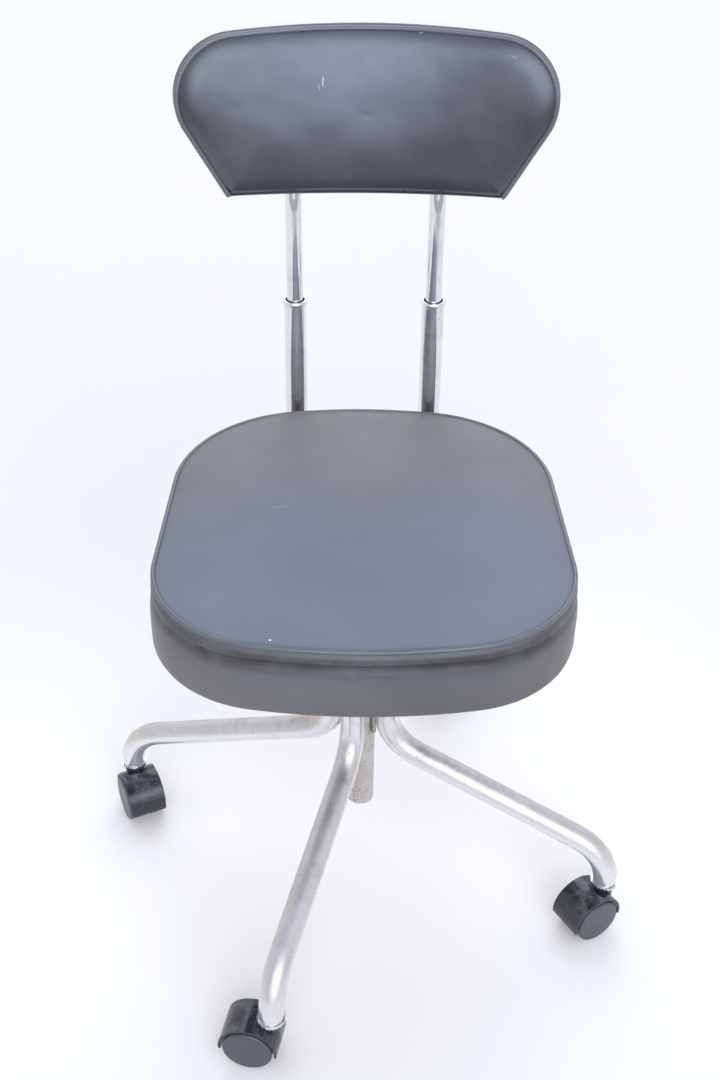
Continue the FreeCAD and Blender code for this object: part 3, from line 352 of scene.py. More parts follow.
BACK_MARKS = (((-0.0400, 0.163, 0.8085), (0.08, 0.1, 1.0), 4.0 * MM, 0.45 * MM, 0.8),
              ((-0.0435, 0.163, 0.8040), (-0.3, 0.1, 1.0), 2.2 * MM, 0.35 * MM, 0.45),
              ((0.052, 0.190, 0.8495), (1.0, 0.1, 0.25), 5.0 * MM, 0.45 * MM, 0.5),
              ((0.131, 0.180, 0.835), (1.0, 0.2, -0.4), 2.5 * MM, 0.30 * MM, 0.3))
SEAT_MARKS = (((-0.080, -0.178, 0.474), (1.0, 0.0, 0.0), 0.3 * MM, 1.0 * MM, 0.95),
              ((-0.079, -0.004, 0.480), (1.0, 0.12, 0.0), 11.0 * MM, 0.32 * MM, 0.22),
              ((0.060, -0.020, 0.480), (1.0, -0.1, 0.0), 26.0 * MM, 0.30 * MM, 0.08))
# The seat top's rear tone is a painted reflection, warmer than the front.
SEAT_VINYL = vinyl("seat_vinyl", (0.148, 0.157, 0.180, 1), (0.162, 0.168, 0.186, 1), rough=0.50,
                   gloss=0.5, rear=(0.168, 0.160, 0.147, 1), scratches=SEAT_MARKS)
# The side's fold at fold_z gets painted shade with a grime tint.
SIDE_VINYL = vinyl("side_vinyl", grey(0.084, 0.03), grey(0.114, 0.04), rough=0.44, gloss=0.6,
                   fold_z=0.4505)
# The backrest's front carries a painted sheen: a lighter blurred middle in place of the sky's
# reflection.
BACK_VINYL = vinyl("back_vinyl", (0.026, 0.027, 0.030, 1), (0.034, 0.036, 0.040, 1), rough=0.30,
                   gloss=0.95, painted_sheen=((-0.012, 0.17, 0.800), 88 * MM, (0.076, 0.080, 0.091, 1)),
                   ribs=(2.1 * MM, 0.014 * MM), scratches=BACK_MARKS, across=(0, 1, 0))
REAR_VINYL = vinyl("rear_vinyl", (0.046, 0.049, 0.056, 1), (0.056, 0.059, 0.066, 1), rough=0.34,
                   gloss=0.85, ribs=(2.1 * MM, 0.018 * MM))
BOXING_VINYL = vinyl("boxing_vinyl", grey(0.036), grey(0.048, 0.01), rough=0.5, gloss=0.5)
PIPING_VINYL = vinyl("piping_vinyl", grey(0.085, -0.04), grey(0.120, -0.01), rough=0.26, gloss=0.75)
LEG_CHROME = chrome("leg_chrome", grey(0.58, 0.08), grey(0.47, 0.11), smooth=0.36, dull=0.50,
                    pits=1.2, pit_low=0.19, bright_below=0.115, metal=0.7)
COLUMN_STEEL = chrome("column_steel", grey(0.58, 0.06), grey(0.42, 0.10), smooth=0.34, dull=0.55,
                      pits=2.2, metal=0.8)
POST_CHROME = chrome("post_chrome", grey(0.80), grey(0.73, 0.01), smooth=0.05, dull=0.12, pits=0.15)
RING_CHROME = chrome("ring_chrome", grey(0.85), grey(0.70, 0.02), smooth=0.10, dull=0.25)
WELD = chrome("weld", grey(0.50, 0.05), grey(0.30, 0.10), smooth=0.35, dull=0.6, pits=1.5)
HOOD_BLACK = dusty_plastic("hood_black", grey(0.022, -0.05), grey(0.15, 0.04), 0.15, 0.50, 0.6)
WHEEL_SLATE = dusty_plastic("wheel_slate", grey(0.062, -0.05), grey(0.12), 0.36, 0.6, 0.5)
KNOB_BLACK = dusty_plastic("knob_black", grey(0.015), grey(0.10, 0.03), 0.25, 0.5, 0.4)
BLACK_PAINT = painted("black_paint", grey(0.022), grey(0.16, 0.06), 0.35)
NYLON = painted("nylon", grey(0.03), grey(0.05), 0.45)
ZINC = turned_metal("zinc", grey(0.66, 0.02), grey(0.40, 0.05), 0.30)
STEEL = turned_metal("steel", grey(0.52), grey(0.26, 0.06), 0.25)
BRONZE = turned_metal("bronze", (0.55, 0.38, 0.17, 1.0), (0.25, 0.16, 0.08, 1.0), 0.28)
PLYWOOD = plywood("plywood", (0.36, 0.23, 0.12, 1.0), (0.58, 0.42, 0.25, 1.0))
STAINED_PLYWOOD = plywood("stained_plywood", (0.035, 0.030, 0.026, 1.0), (0.07, 0.06, 0.05, 1.0))

NODE_LOOKS = {
    "column_tube": COLUMN_STEEL, "column_bush": BRONZE, "spindle_key": STEEL,
    "spindle": STEEL, "thrust_washer": BRONZE, "seat_board": STAINED_PLYWOOD, "back_board": PLYWOOD,
    "guide_bushes": NYLON, "saddle_screws": ZINC, "strap_screws": ZINC,
    "rod_straps": BLACK_PAINT, "back_tube_left": POST_CHROME, "back_tube_right": POST_CHROME,
    "back_rod_left": POST_CHROME, "back_rod_right": POST_CHROME,
}
for leg in LEGS:
    NODE_LOOKS[f"leg_{leg}"] = LEG_CHROME
    NODE_LOOKS[f"caster_socket_{leg}"] = RING_CHROME
    NODE_LOOKS[f"caster_stem_{leg}"] = STEEL
    NODE_LOOKS[f"caster_axle_{leg}"] = STEEL


def finish_nodes():
    for name, look in NODE_LOOKS.items():
        wear(frame["nodes"][name], look)


# ---------------------------------------------------------------- mesh helpers


def wear(piece, *looks):
    """Give a piece its materials, in slot order."""
    piece.data.materials.clear()
    for look in looks:
        piece.data.materials.append(look)
    return piece


def new_piece(name, points, faces, smooth=True):
    mesh = bpy.data.meshes.new(name)
    mesh.from_pydata([tuple(p) for p in points], [], faces)
    mesh.update()
    if smooth:
        mesh.shade_smooth()
    piece = bpy.data.objects.new(name, mesh)
    bpy.context.scene.collection.objects.link(piece)
    return piece


def ring_faces(rings, count, closed_rings=True):
    """Quads between neighbouring rings of count points each."""
    around = range(count) if closed_rings else range(count - 1)
    return [(r * count + i, r * count + (i + 1) % count,
             (r + 1) * count + (i + 1) % count, (r + 1) * count + i)
            for r in range(rings - 1) for i in around]


def shell(name, rings):
    """Closed skin through rings of points, each end closed by a fan."""
    rings = np.asarray(rings, float)
    count = rings.shape[1]
    points = rings.reshape(-1, 3)
    first, last = len(points), len(points) + 1
    foot = (len(rings) - 1) * count
    faces = ring_faces(len(rings), count)
    faces += [(first, (i + 1) % count, i) for i in range(count)]
    faces += [(last, foot + i, foot + (i + 1) % count) for i in range(count)]
    points = np.vstack([points, rings[0].mean(0), rings[-1].mean(0)])
    piece = new_piece(name, points, faces)
    turn_outward(piece)
    return piece


def held_from(first_ring, rings):
    """Points of a shell from one ring on, with the middle of its last end."""
    count, total = len(rings[0]), len(rings) * len(rings[0])
    return [*range(first_ring * count, total), total + 1]


def turn_outward(piece):
    mesh = bmesh.new()
    mesh.from_mesh(piece.data)
    bmesh.ops.recalc_face_normals(mesh, faces=mesh.faces)
    mesh.to_mesh(piece.data)
    mesh.free()


def tube(name, path, radius, closed, sides=14):
    """Round cord along a path; radius may be one number or one for each point."""
    path = np.asarray(path, float)
    radii = np.broadcast_to(np.asarray(radius, float), len(path))
    if closed:
        ahead, behind = np.roll(path, -1, 0), np.roll(path, 1, 0)
    else:
        ahead, behind = np.vstack([path[1:], path[-1:]]), np.vstack([path[:1], path[:-1]])
    tangents = ahead - behind
    tangents /= np.linalg.norm(tangents, axis=1)[:, None]
    side = np.cross(tangents[0], (0.0, 0.0, 1.0) if abs(tangents[0][2]) < 0.9 else (1.0, 0.0, 0.0))
    rings = []
    for point, tangent, size in zip(path, tangents, radii):
        side = side - tangent * side.dot(tangent)
        side /= np.linalg.norm(side)
        across = np.cross(tangent, side)
        rings.append([point + size * (side * math.cos(a) + across * math.sin(a))
                      for a in np.linspace(0, 2 * math.pi, sides, endpoint=False)])
    if not closed:
        return shell(name, rings)
    faces = ring_faces(len(rings), sides)
    last = (len(rings) - 1) * sides
    faces += [(last + i, last + (i + 1) % sides, (i + 1) % sides, i) for i in range(sides)]
    piece = new_piece(name, np.asarray(rings).reshape(-1, 3), faces)
    turn_outward(piece)
    return piece


def lathe(name, profile, origin, axis, segments=96):
    """Turned piece: profile holds (radius, distance along axis) from end to end."""
    axis = Vector(axis).normalized()
    side = axis.orthogonal().normalized()
    across = axis.cross(side)
    angles = [2 * math.pi * i / segments for i in range(segments)]
    rings = [[Vector(origin) + axis * along + (side * math.cos(a) + across * math.sin(a)) * radius
              for a in angles] for radius, along in profile]
    piece = new_piece(name, [p for ring in rings for p in ring], ring_faces(len(rings), segments))
    mesh = bmesh.new()
    mesh.from_mesh(piece.data)
    bmesh.ops.remove_doubles(mesh, verts=mesh.verts, dist=1e-6)
    bmesh.ops.recalc_face_normals(mesh, faces=mesh.faces)
    mesh.to_mesh(piece.data)
    mesh.free()
    return piece


def rounded(corners, radius, steps=5):
    """A profile's points with each inner corner rounded to about radius."""
    points = [Vector(c) for c in corners]
    out = [points[0]]
    for before, here, after in zip(points, points[1:], points[2:]):
        back, ahead = before - here, after - here
        reach = min(radius, back.length * 0.45, ahead.length * 0.45)
        start, end = here + back.normalized() * reach, here + ahead.normalized() * reach
        for i in range(steps + 1):
            f = i / steps
            out.append(start.lerp(here, f).lerp(here.lerp(end, f), f))
    out.append(points[-1])
    return [tuple(p) for p in out]


def bevelled(node, width, look, segments=3, sharp_from=35.0):
    """A CAD node's shape with its sharp edges rounded; it stands for the node."""
    piece = bpy.data.objects.new(node + "_finish", frame["nodes"][node].data.copy())
    bpy.context.scene.collection.objects.link(piece)
    mesh = bmesh.new()
    mesh.from_mesh(piece.data)
    bmesh.ops.remove_doubles(mesh, verts=mesh.verts, dist=2e-6)
    bmesh.ops.dissolve_limit(mesh, angle_limit=math.radians(0.5), verts=mesh.verts, edges=mesh.edges)
    sharp = [e for e in mesh.edges
             if e.is_manifold and e.calc_face_angle() > math.radians(sharp_from)]
    bmesh.ops.bevel(mesh, geom=sharp, offset=width, segments=segments, profile=0.5,
                    affect="EDGES", clamp_overlap=True)
    mesh.to_mesh(piece.data)
    mesh.free()
    piece.data.shade_smooth()
    weighted = piece.modifiers.new("Normals", "WEIGHTED_NORMAL")
    weighted.weight = 80
    wear(piece, look)
    settle_on(piece, node)
    return piece


def settle_on(piece, *nodes):
    """piece stands for these nodes, which it hides, and rides with the first."""
    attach(piece, frame["nodes"][nodes[0]]["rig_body"])
    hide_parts(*nodes)


# The covers' cloth: settings, length of the run, and the size of its even mesh.
CLOTH = dict(quality=6, mass=0.4, tension_stiffness=40.0, compression_stiffness=40.0,
             shear_stiffness=20.0, bending_stiffness=8.0, use_pressure=True)
CLOTH_FRAMES = 20
CLOTH_VOXEL = 5 * MM
CLOTH_BLUR = 9 * MM


def skin_of(piece):
    """A separate, evenly remeshed copy of a closed cover, for the cloth to work on."""
    sim = bpy.data.objects.new("swelling", piece.data.copy())
    bpy.context.scene.collection.objects.link(sim)
    remesh = sim.modifiers.new("Remesh", "REMESH")
    remesh.mode = "VOXEL"
    remesh.voxel_size = CLOTH_VOXEL
    ready = sim.evaluated_get(bpy.context.evaluated_depsgraph_get())
    mesh = bpy.data.meshes.new_from_object(ready)
    sim.modifiers.clear()
    sim.data = mesh
    return sim


def places(mesh, what="co"):
    return np.array([getattr(v, what) for v in mesh.vertices])


def tree_of(points):
    tree = KDTree(len(points))
    for number, point in enumerate(points):
        tree.insert(point, number)
    tree.balance()
    return tree


def cloth_movement(sim, held, pressure):
    """How far pressure moves each point of sim in the cloth's run."""
    before = places(sim.data)
    group = sim.vertex_groups.new(name="held")
    group.add(held, 1.0, "REPLACE")
    cloth = sim.modifiers.new("Cloth", "CLOTH")
    cloth.settings.vertex_group_mass = group.name
    for name, value in CLOTH.items():
        setattr(cloth.settings, name, value)
    cloth.settings.uniform_pressure_force = pressure
    cloth.settings.effector_weights.gravity = 0.0
    cloth.collision_settings.use_collision = False
    cloth.point_cache.frame_start = 1
    cloth.point_cache.frame_end = CLOTH_FRAMES
    scene = bpy.context.scene
    for number in range(1, CLOTH_FRAMES + 1):
        scene.frame_set(number)
    posed = sim.evaluated_get(bpy.context.evaluated_depsgraph_get())
    moved = places(posed.data) - before
    scene.frame_set(1)
    return moved


def swell(piece, held, pressure, cap):
    """Fill a closed cover out with cloth pressure, by less than cap; held points stay.

    The cloth runs on an evenly meshed copy, and each point of the cover takes the blurred
    movement of the copy's points that are near it and face the same way.
    """
    start, facing = places(piece.data), places(piece.data, "normal")
    nearest, fixed = tree_of(start), set(held)
    sim = skin_of(piece)
    before, outward = places(sim.data), places(sim.data, "normal")
    still = [i for i, point in enumerate(before) if nearest.find(point)[1] in fixed]
    moved = cloth_movement(sim, still, pressure)
    bpy.data.objects.remove(sim)
    length = np.linalg.norm(moved, axis=1)
    moved *= (cap * np.tanh(length / cap) / np.maximum(length, 1e-9))[:, None]
    spread = tree_of(before)
    shift = np.zeros_like(start)
    for number, point in enumerate(start):
        if number in fixed:
            continue
        found = [(i, distance) for _, i, distance in spread.find_range(point, 2 * CLOTH_BLUR)
                 if outward[i].dot(facing[number]) > 0.3]
        if found:
            weights = np.exp([-(distance / CLOTH_BLUR) ** 2 for _, distance in found])
            shift[number] = weights @ moved[[i for i, _ in found]] / weights.sum()
    piece.data.vertices.foreach_set("co", (start + shift).ravel())
    piece.data.update()


def ripple(piece, size, scale, chosen=None, seed=0.0):
    """Move the skin in and out a little, as foam under a cover does."""
    piece.data.update()
    vertices = piece.data.vertices
    normals = [v.normal.copy() for v in vertices]
    picked = [chosen is None or chosen(v) for v in vertices]
    for vertex, normal, wanted in zip(vertices, normals, picked):
        if wanted:
            place = vertex.co * scale + Vector((seed, 0.0, 0.0))
            vertex.co += normal * size * noise.fractal(place, 0.8, 2.0, 3)
    piece.data.update()


def edge_distance(points, outline):
    """Distance of each point to a closed outline, both in two dimensions."""
    a = outline
    b = np.roll(outline, -1, 0)
    along = b - a
    t = ((points[:, None] - a[None]) * along[None]).sum(2) / (along ** 2).sum(1)[None]
    nearest = a[None] + np.clip(t, 0, 1)[..., None] * along[None]
    return np.linalg.norm(points[:, None] - nearest, axis=2).min(1)


def bell(value, middle, width):
    return np.exp(-((value - middle) / width) ** 2)


def soft_step(value, start, end):
    share = np.clip((value - start) / (end - start), 0, 1)
    return share * share * (3 - 2 * share)


def rise(value, reach, power=2.2):
    """0 at value 0, 1 from reach on, round like the edge of a cushion."""
    return 1 - (1 - np.clip(value / reach, 0, 1)) ** power


# ---------------------------------------------------------------- seat

# Each end of the seat: centre and radius of its corner arcs, and the radius of the
# long arc between them.
SEAT_FRONT = dict(x=80.4 * MM, y=74.8 * MM, radius=111.3 * MM, edge=566.0 * MM)
SEAT_REAR = dict(x=51.5 * MM, y=53.9 * MM, radius=133.0 * MM, edge=471.0 * MM)
SEAT_POINTS = 264
SEAT_TOP_RINGS = 46
SEAT_HEM = 36.0 * MM
# Radius of the piping, and how far its middle lies inside the outline.
CORD = 2.4 * MM
CORD_INSET = 2.5 * MM


def arc_points(centre, radius, start, end, step=math.radians(1.0)):
    """Points on an arc and their outward normals, angles in radians."""
    angles = np.linspace(start, end, max(3, int(abs(end - start) / step)))
    normals = np.stack([np.cos(angles), np.sin(angles)], 1)
    return np.asarray(centre) + radius * normals, normals


def spaced(points, normals, count):
    """count evenly spaced points round a closed outline, with their normals."""
    around = np.vstack([points, points[:1]])
    facing = np.vstack([normals, normals[:1]])
    steps = np.linalg.norm(np.diff(around, axis=0), axis=1)
    keep = np.append(True, steps > 1e-9)
    around, facing = around[keep], facing[keep]
    length = np.append(0.0, np.cumsum(steps[steps > 1e-9]))
    wanted = np.linspace(0, length[-1], count, endpoint=False)
    place = np.stack([np.interp(wanted, length, around[:, k]) for k in (0, 1)], 1)
    normal = np.stack([np.interp(wanted, length, facing[:, k]) for k in (0, 1)], 1)
    return place, normal / np.linalg.norm(normal, axis=1)[:, None]


def seat_outline():
    """Outer edge of the seat's piping: six arcs, and the straight sides between them."""
    fx, fy, fr, fe = (SEAT_FRONT[k] for k in ("x", "y", "radius", "edge"))
    rx, ry, rr, re = (SEAT_REAR[k] for k in ("x", "y", "radius", "edge"))
    front_mid = -fy + math.sqrt((fe - fr) ** 2 - fx ** 2)
    rear_mid = ry - math.sqrt((re - rr) ** 2 - rx ** 2)
    turn_front = math.atan2(-fy - front_mid, fx)
    turn_rear = math.atan2(ry - rear_mid, rx)
    span = math.hypot(fx - rx, fy + ry)
    side = math.atan2(fx - rx, fy + ry) + math.asin((fr - rr) / span)
    arcs = (((0, front_mid), fe, -math.pi - turn_front, turn_front), ((fx, -fy), fr, turn_front, side),
            ((rx, ry), rr, side, turn_rear), ((0, rear_mid), re, turn_rear, math.pi - turn_rear),
            ((-rx, ry), rr, math.pi - turn_rear, math.pi - side),
            ((-fx, -fy), fr, math.pi - side, math.pi - turn_front))
    points, normals = zip(*(arc_points(*arc) for arc in arcs))
    return spaced(np.vstack(points), np.vstack(normals), SEAT_POINTS)


def flat_ring(points, height):
    return np.column_stack([points, np.broadcast_to(height, len(points))])


def seat_side_inset(z, seam, foot, points):
    """How far in from the piping's edge the side is at height z.

    From the top: pressed in under the cord, a roll at the front, a fold, a belly, and the
    turned-under edge.
    """
    below = seam - z
    front = soft_step(-points[:, 1], 50 * MM, 180 * MM)
    roll = soft_step(below, 1 * MM, 8 * MM) * (1 - soft_step(below, 10 * MM, 17 * MM))
    roll = 1.7 * MM * front * roll
    fold = (0.2 + 1.9 * front) * MM * bell(below, 17.5 * MM, 5.2 * MM)
    belly = (2.9 - 0.5 * front) * MM * soft_step(below, 4 * MM + 12 * MM * front, 40 * MM)
    under_cord = (1.0 + 1.2 * front) * MM * bell(below, 0.0, 2.6 * MM)
    turned_under = 4.5 * MM * (1 - rise(z - foot, 5.0 * MM, 2.0))
    return (-roll + fold - belly + under_cord + turned_under)[:, None]


def seat_top_rings(outline, normals, seam, crown):
    """Rings from the middle of the crowned top out to the piping."""
    centre = outline.mean(0)
    inner = outline - normals * (CORD_INSET + 0.9 * MM)
    rings = []
    for share in np.sin(np.linspace(0.02, 1, SEAT_TOP_RINGS) * math.pi / 2):
        ring = centre + (inner - centre) * share
        depth = edge_distance(ring, inner)
        height = crown * (0.40 * rise(depth, 26 * MM) + 0.60 * rise(depth, 150 * MM, 2.6))
        rings.append(flat_ring(ring, seam + 0.8 * MM + height))
    return rings


def seat_hem_rings(outline, normals, foot):
    """Rings of the cover's hem under the seat, its edge tucked up."""
    rings = [flat_ring(outline - normals * inset, foot - 0.7 * MM)
             for inset in np.linspace(8.0 * MM, SEAT_HEM, 8)]
    rings.append(flat_ring(outline - normals * (SEAT_HEM + 0.8 * MM), foot))
    rings.append(flat_ring(outline - normals * (SEAT_HEM + 1.0 * MM), foot + 1.6 * MM))
    return rings


def make_seat_cover(outline, normals, seam):
    """Seat cover: crowned top, side band with a fold under the piping, turned-under edge."""
    low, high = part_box("seat_cushion")
    crown = (high.z - seam) - 3.0 * MM
    rings = seat_top_rings(outline, normals, seam, crown)
    side_heights = np.concatenate([np.linspace(seam - 0.4 * MM, seam - 24 * MM, 20),
                                   np.linspace(seam - 27 * MM, low.z + 5 * MM, 12),
                                   np.linspace(low.z + 4 * MM, low.z, 6)])
    for z in side_heights:
        rings.append(flat_ring(outline - normals * seat_side_inset(z, seam, low.z, outline), z))
    rings += seat_hem_rings(outline, normals, low.z)
    cover = shell("seat_cover", rings)
    # The cloth is held at the piping, in the fold below it and under the seat.
    seam_points = range((SEAT_TOP_RINGS - 1) * SEAT_POINTS, (SEAT_TOP_RINGS + 1) * SEAT_POINTS)
    fold_points = range((SEAT_TOP_RINGS + 13) * SEAT_POINTS, (SEAT_TOP_RINGS + 16) * SEAT_POINTS)
    under = held_from(SEAT_TOP_RINGS + len(side_heights) - 3, rings)
    swell(cover, [*seam_points, *fold_points, *under], 5.0, 5.0 * MM)
    ripple(cover, 0.5 * MM, 11.0, lambda v: v.co.z > low.z + 3 * MM)
    wear(cover, SEAT_VINYL, SIDE_VINYL)
    top_faces = (SEAT_TOP_RINGS - 1) * SEAT_POINTS
    middle_fan = range((len(rings) - 1) * SEAT_POINTS, len(rings) * SEAT_POINTS)
    for face in cover.data.polygons:
        face.material_index = 0 if face.index < top_faces or face.index in middle_fan else 1
    settle_on(cover, "seat_cushion")


def make_seat():
    cord_low, cord_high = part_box("seat_welt")
    seam = (cord_low.z + cord_high.z) / 2
    outline, normals = seat_outline()
    make_seat_cover(outline, normals, seam)
    path = flat_ring(outline - normals * CORD_INSET, seam)
    path[:, 2] += [0.25 * MM * noise.noise(Vector(p) * 30) for p in path]
    piping = tube("seat_piping", path, CORD, closed=True)
    wear(piping, PIPING_VINYL)
    settle_on(piping, "seat_welt")


# ---------------------------------------------------------------- backrest

# The posts and rods as in the CAD model. Above ROD_BEND_Z the rods lean back by
# ROD_LEAN, 24.0 mm over 135.9 mm of height.
POST_X, POST_Y, ROD_RADIUS = 69.0 * MM, 206.0 * MM, 7.95 * MM
ROD_BEND_Z = 688.0 * MM
ROD_LEAN = math.atan2(24.0, 135.9)
# The backrest's outline, in its own plane, and the radius that it is curved to.
BACK_CURVE = 540.0 * MM
BACK_CORNER = dict(x=116.9 * MM, z=101.1 * MM, radius=56.8 * MM)
BACK_TOP_RADIUS = 1353.0 * MM
BACK_FOOT = 10.5 * MM
BACK_SIDE_LEAN = math.radians(30.2)
BACK_COUNTS = dict(top=90, corner=40, side=34, bottom=84)
# Depths behind the rods, and how far the pads are wider and higher than the board.
BOARD_REAR = -ROD_RADIUS - 0.1 * MM
BOARD_FRONT = BOARD_REAR - 6.0 * MM
FRONT_SEAM, FRONT_CROWN = BOARD_FRONT - 4.0 * MM, 12.0 * MM
FRONT_WIDEN, FRONT_LIFT = 0.8 * MM, 2.4 * MM
REAR_SEAM, REAR_CROWN = ROD_RADIUS + 3.0 * MM, 3.5 * MM
REAR_WIDEN = 4.8 * MM
PAD_INSET, BACK_HEM = 3.2 * MM, 12 * MM


def back_frame():
    """Matrix from the backrest's own frame, at the rods' bend, to the stool's frame."""
    foot = Vector((0.0, POST_Y, ROD_BEND_Z))
    return Matrix.Translation(foot) @ Matrix.Rotation(-ROD_LEAN, 4, "X")


def back_outline(inset, widen=0.0, lift=0.0):
    """Backrest outline in its own plane: arched top, round corners, sides leaning in."""
    cx, cz = BACK_CORNER["x"] + widen, BACK_CORNER["z"] + lift
    radius, crown, foot = BACK_CORNER["radius"] - inset, BACK_TOP_RADIUS - inset, BACK_FOOT + inset
    top_centre = cz - math.sqrt((crown - radius) ** 2 - cx ** 2)
    join = math.atan2(cz - top_centre, cx)
    lean = BACK_SIDE_LEAN
    touch = (cx + radius * math.cos(lean), cz - radius * math.sin(lean))
    corner = (touch[0] - (touch[1] - foot) * math.tan(lean), foot)
    n = BACK_COUNTS
    half_bottom = np.linspace((0.0, foot), corner, n["bottom"] // 2, endpoint=False)
    side = np.linspace(corner, touch, n["side"], endpoint=False)
    turn = np.linspace(-lean, join, n["corner"], endpoint=False)
    corner_arc = np.stack([cx + radius * np.cos(turn), cz + radius * np.sin(turn)], 1)
    sweep = np.linspace(join, math.pi / 2, n["top"] // 2, endpoint=False)
    half_top = np.stack([crown * np.cos(sweep), top_centre + crown * np.sin(sweep)], 1)
    right = np.vstack([half_bottom, side, corner_arc, half_top, [(0.0, top_centre + crown)]])
    left = right[1:-1][::-1] * (-1, 1)
    return np.vstack([right, left])


def on_back(points, depth):
    """Points of the backrest's plane, put on its curve at a depth behind the rods."""
    centre = -math.sqrt(BACK_CURVE ** 2 - POST_X ** 2)
    radius = BACK_CURVE + np.broadcast_to(depth, len(points))
    y = centre + np.sqrt(radius ** 2 - points[:, 0] ** 2)
    local = np.column_stack([points[:, 0], y, points[:, 1]])
    matrix = np.array(back_frame())
    return local @ matrix[:3, :3].T + matrix[:3, 3]


def bottom_share(points):
    """1 along the bottom edge, fading to 0 just above it."""
    return 1 - np.clip((points[:, 1] - BACK_FOOT - 4 * MM) / (7 * MM), 0, 1)


def pad_rings(outline, seam, crown, direction, steps=40):
    """Rings from the middle of a pad's face out to its seam, crowned along direction."""
    centre = np.array([0.0, (outline[:, 1].max() + outline[:, 1].min()) / 2])
    rings = []
    for share in np.sin(np.linspace(0.02, 1, steps) * math.pi / 2):
        ring = centre + (outline - centre) * share
        depth = edge_distance(ring, outline)
        height = crown * (0.42 * rise(depth, 22 * MM, 2.4) + 0.58 * rise(depth, 74 * MM, 2.1))
        rolled = 5.0 * MM * bottom_share(ring) * (1 - rise(depth, 9 * MM, 2.4))
        rings.append(on_back(ring, seam + direction * (height - rolled)))
    return rings


def make_front_pad():
    """Front cushion, crowned, its lower edge rolled under."""
    outline = back_outline(PAD_INSET, FRONT_WIDEN, FRONT_LIFT)
    rings = pad_rings(outline, FRONT_SEAM, FRONT_CROWN, -1)
    face_rings = len(rings)
    back_depth = BOARD_FRONT - 0.2 * MM
    edge = back_outline(2.4 * MM)
    for depth in np.linspace(FRONT_SEAM + 2.0 * MM, back_depth, 3):
        rings.append(on_back(edge, depth))
    rings.append(on_back(back_outline(BACK_HEM), back_depth))
    pad = shell("back_front_pad", rings)
    swell(pad, held_from(face_rings - 1, rings), 4.0, 4.0 * MM)
    ripple(pad, 0.45 * MM, 15.0, lambda v: v.index < (face_rings - 2) * len(outline), 3.0)
    wear(pad, BACK_VINYL)
    settle_on(pad, "back_cushion")


def make_rear_pad():
    """Rear cushion over the rods, nearly flat."""
    outline = back_outline(PAD_INSET, REAR_WIDEN)
    rings = pad_rings(outline, REAR_SEAM, REAR_CROWN, 1)
    face_rings = len(rings)
    front_depth = BOARD_REAR + 0.3 * MM
    for share, depth in ((1.0, REAR_SEAM - 3 * MM), (0.5, 0.0), (0.0, front_depth)):
        rings.append(on_back(back_outline(PAD_INSET, REAR_WIDEN * (0.4 + 0.6 * share)), depth))
    rings.append(on_back(back_outline(BACK_HEM), front_depth))
    pad = shell("back_rear_pad", rings)
    swell(pad, held_from(face_rings - 1, rings), 2.0, 2.5 * MM)
    ripple(pad, 0.4 * MM, 14.0, lambda v: v.index < (face_rings - 2) * len(outline), 9.0)
    wear(pad, REAR_VINYL)
    settle_on(pad, "back_pad")


def boxing_rings(share):
    """Outer and inner ring of the boxing, share of the way from front seam to rear."""
    inset, thick, puff, margin = 1.6 * MM, 1.0 * MM, 0.6 * MM, 0.8 * MM
    depth = FRONT_SEAM + margin + (REAR_SEAM - FRONT_SEAM - 2 * margin) * share
    swollen = puff * math.sin(math.pi * share)
    widen, lift = FRONT_WIDEN + (REAR_WIDEN - FRONT_WIDEN) * share, FRONT_LIFT * (1 - share)
    outer = back_outline(inset - swollen, widen, lift)
    inner = back_outline(inset - swollen + thick, widen, lift)
    raised = bottom_share(outer) * (1 - rise(share, 0.35, 2.0)) * 3.4 * MM
    wrap = np.column_stack([np.zeros(len(outer)), raised])
    return on_back(outer + wrap, depth), on_back(inner + wrap, depth)


def make_boxing():
    """Strip round the backrest between the two pipings, wrapped under at the bottom."""
    outer, inner = zip(*(boxing_rings(share) for share in np.linspace(0, 1, 9)))
    rings = outer + inner[::-1]
    count = len(rings[0])
    last = (len(rings) - 1) * count
    faces = ring_faces(len(rings), count)
    faces += [(last + i, last + (i + 1) % count, (i + 1) % count, i) for i in range(count)]
    strip = new_piece("back_boxing", np.vstack(rings), faces)
    turn_outward(strip)
    wear(strip, BOXING_VINYL)
    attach(strip, "backrest")


def make_back_piping():
    """Two cords; each stops at the backrest's lower corners."""
    first = BACK_COUNTS["bottom"] // 2
    for label, widen, lift, depth in (("front", FRONT_WIDEN, FRONT_LIFT, FRONT_SEAM),
                                      ("rear", REAR_WIDEN, 0.0, REAR_SEAM)):
        outline = back_outline(CORD_INSET, widen, lift)
        path = on_back(outline, depth)[first:len(outline) - first + 1]
        outward = path - path.mean(0)
        waver = np.array([0.2 * MM * noise.noise(Vector(p) * 34) for p in path])
        path = path + outward / np.linalg.norm(outward, axis=1)[:, None] * waver[:, None]
        radii = np.full(len(path), CORD)
        radii[0] = radii[-1] = 1.5 * MM
        piping = tube(f"back_piping_{label}", path, radii, closed=False)
        wear(piping, PIPING_VINYL)
        settle_on(piping, f"back_welt_{label}")


# ---------------------------------------------------------------- metal and casters

WHEEL_RADIUS, WHEEL_RIM, WHEEL_BOSS, AXLE_BORE = 25.0 * MM, 21.0 * MM, 7.0 * MM, 3.1 * MM
# Distances along the axle from the caster's middle.
WHEEL_BACK, WHEEL_WEB, BORE_END, WHEEL_FACE = 3.4 * MM, 18.4 * MM, 18.8 * MM, 21.4 * MM


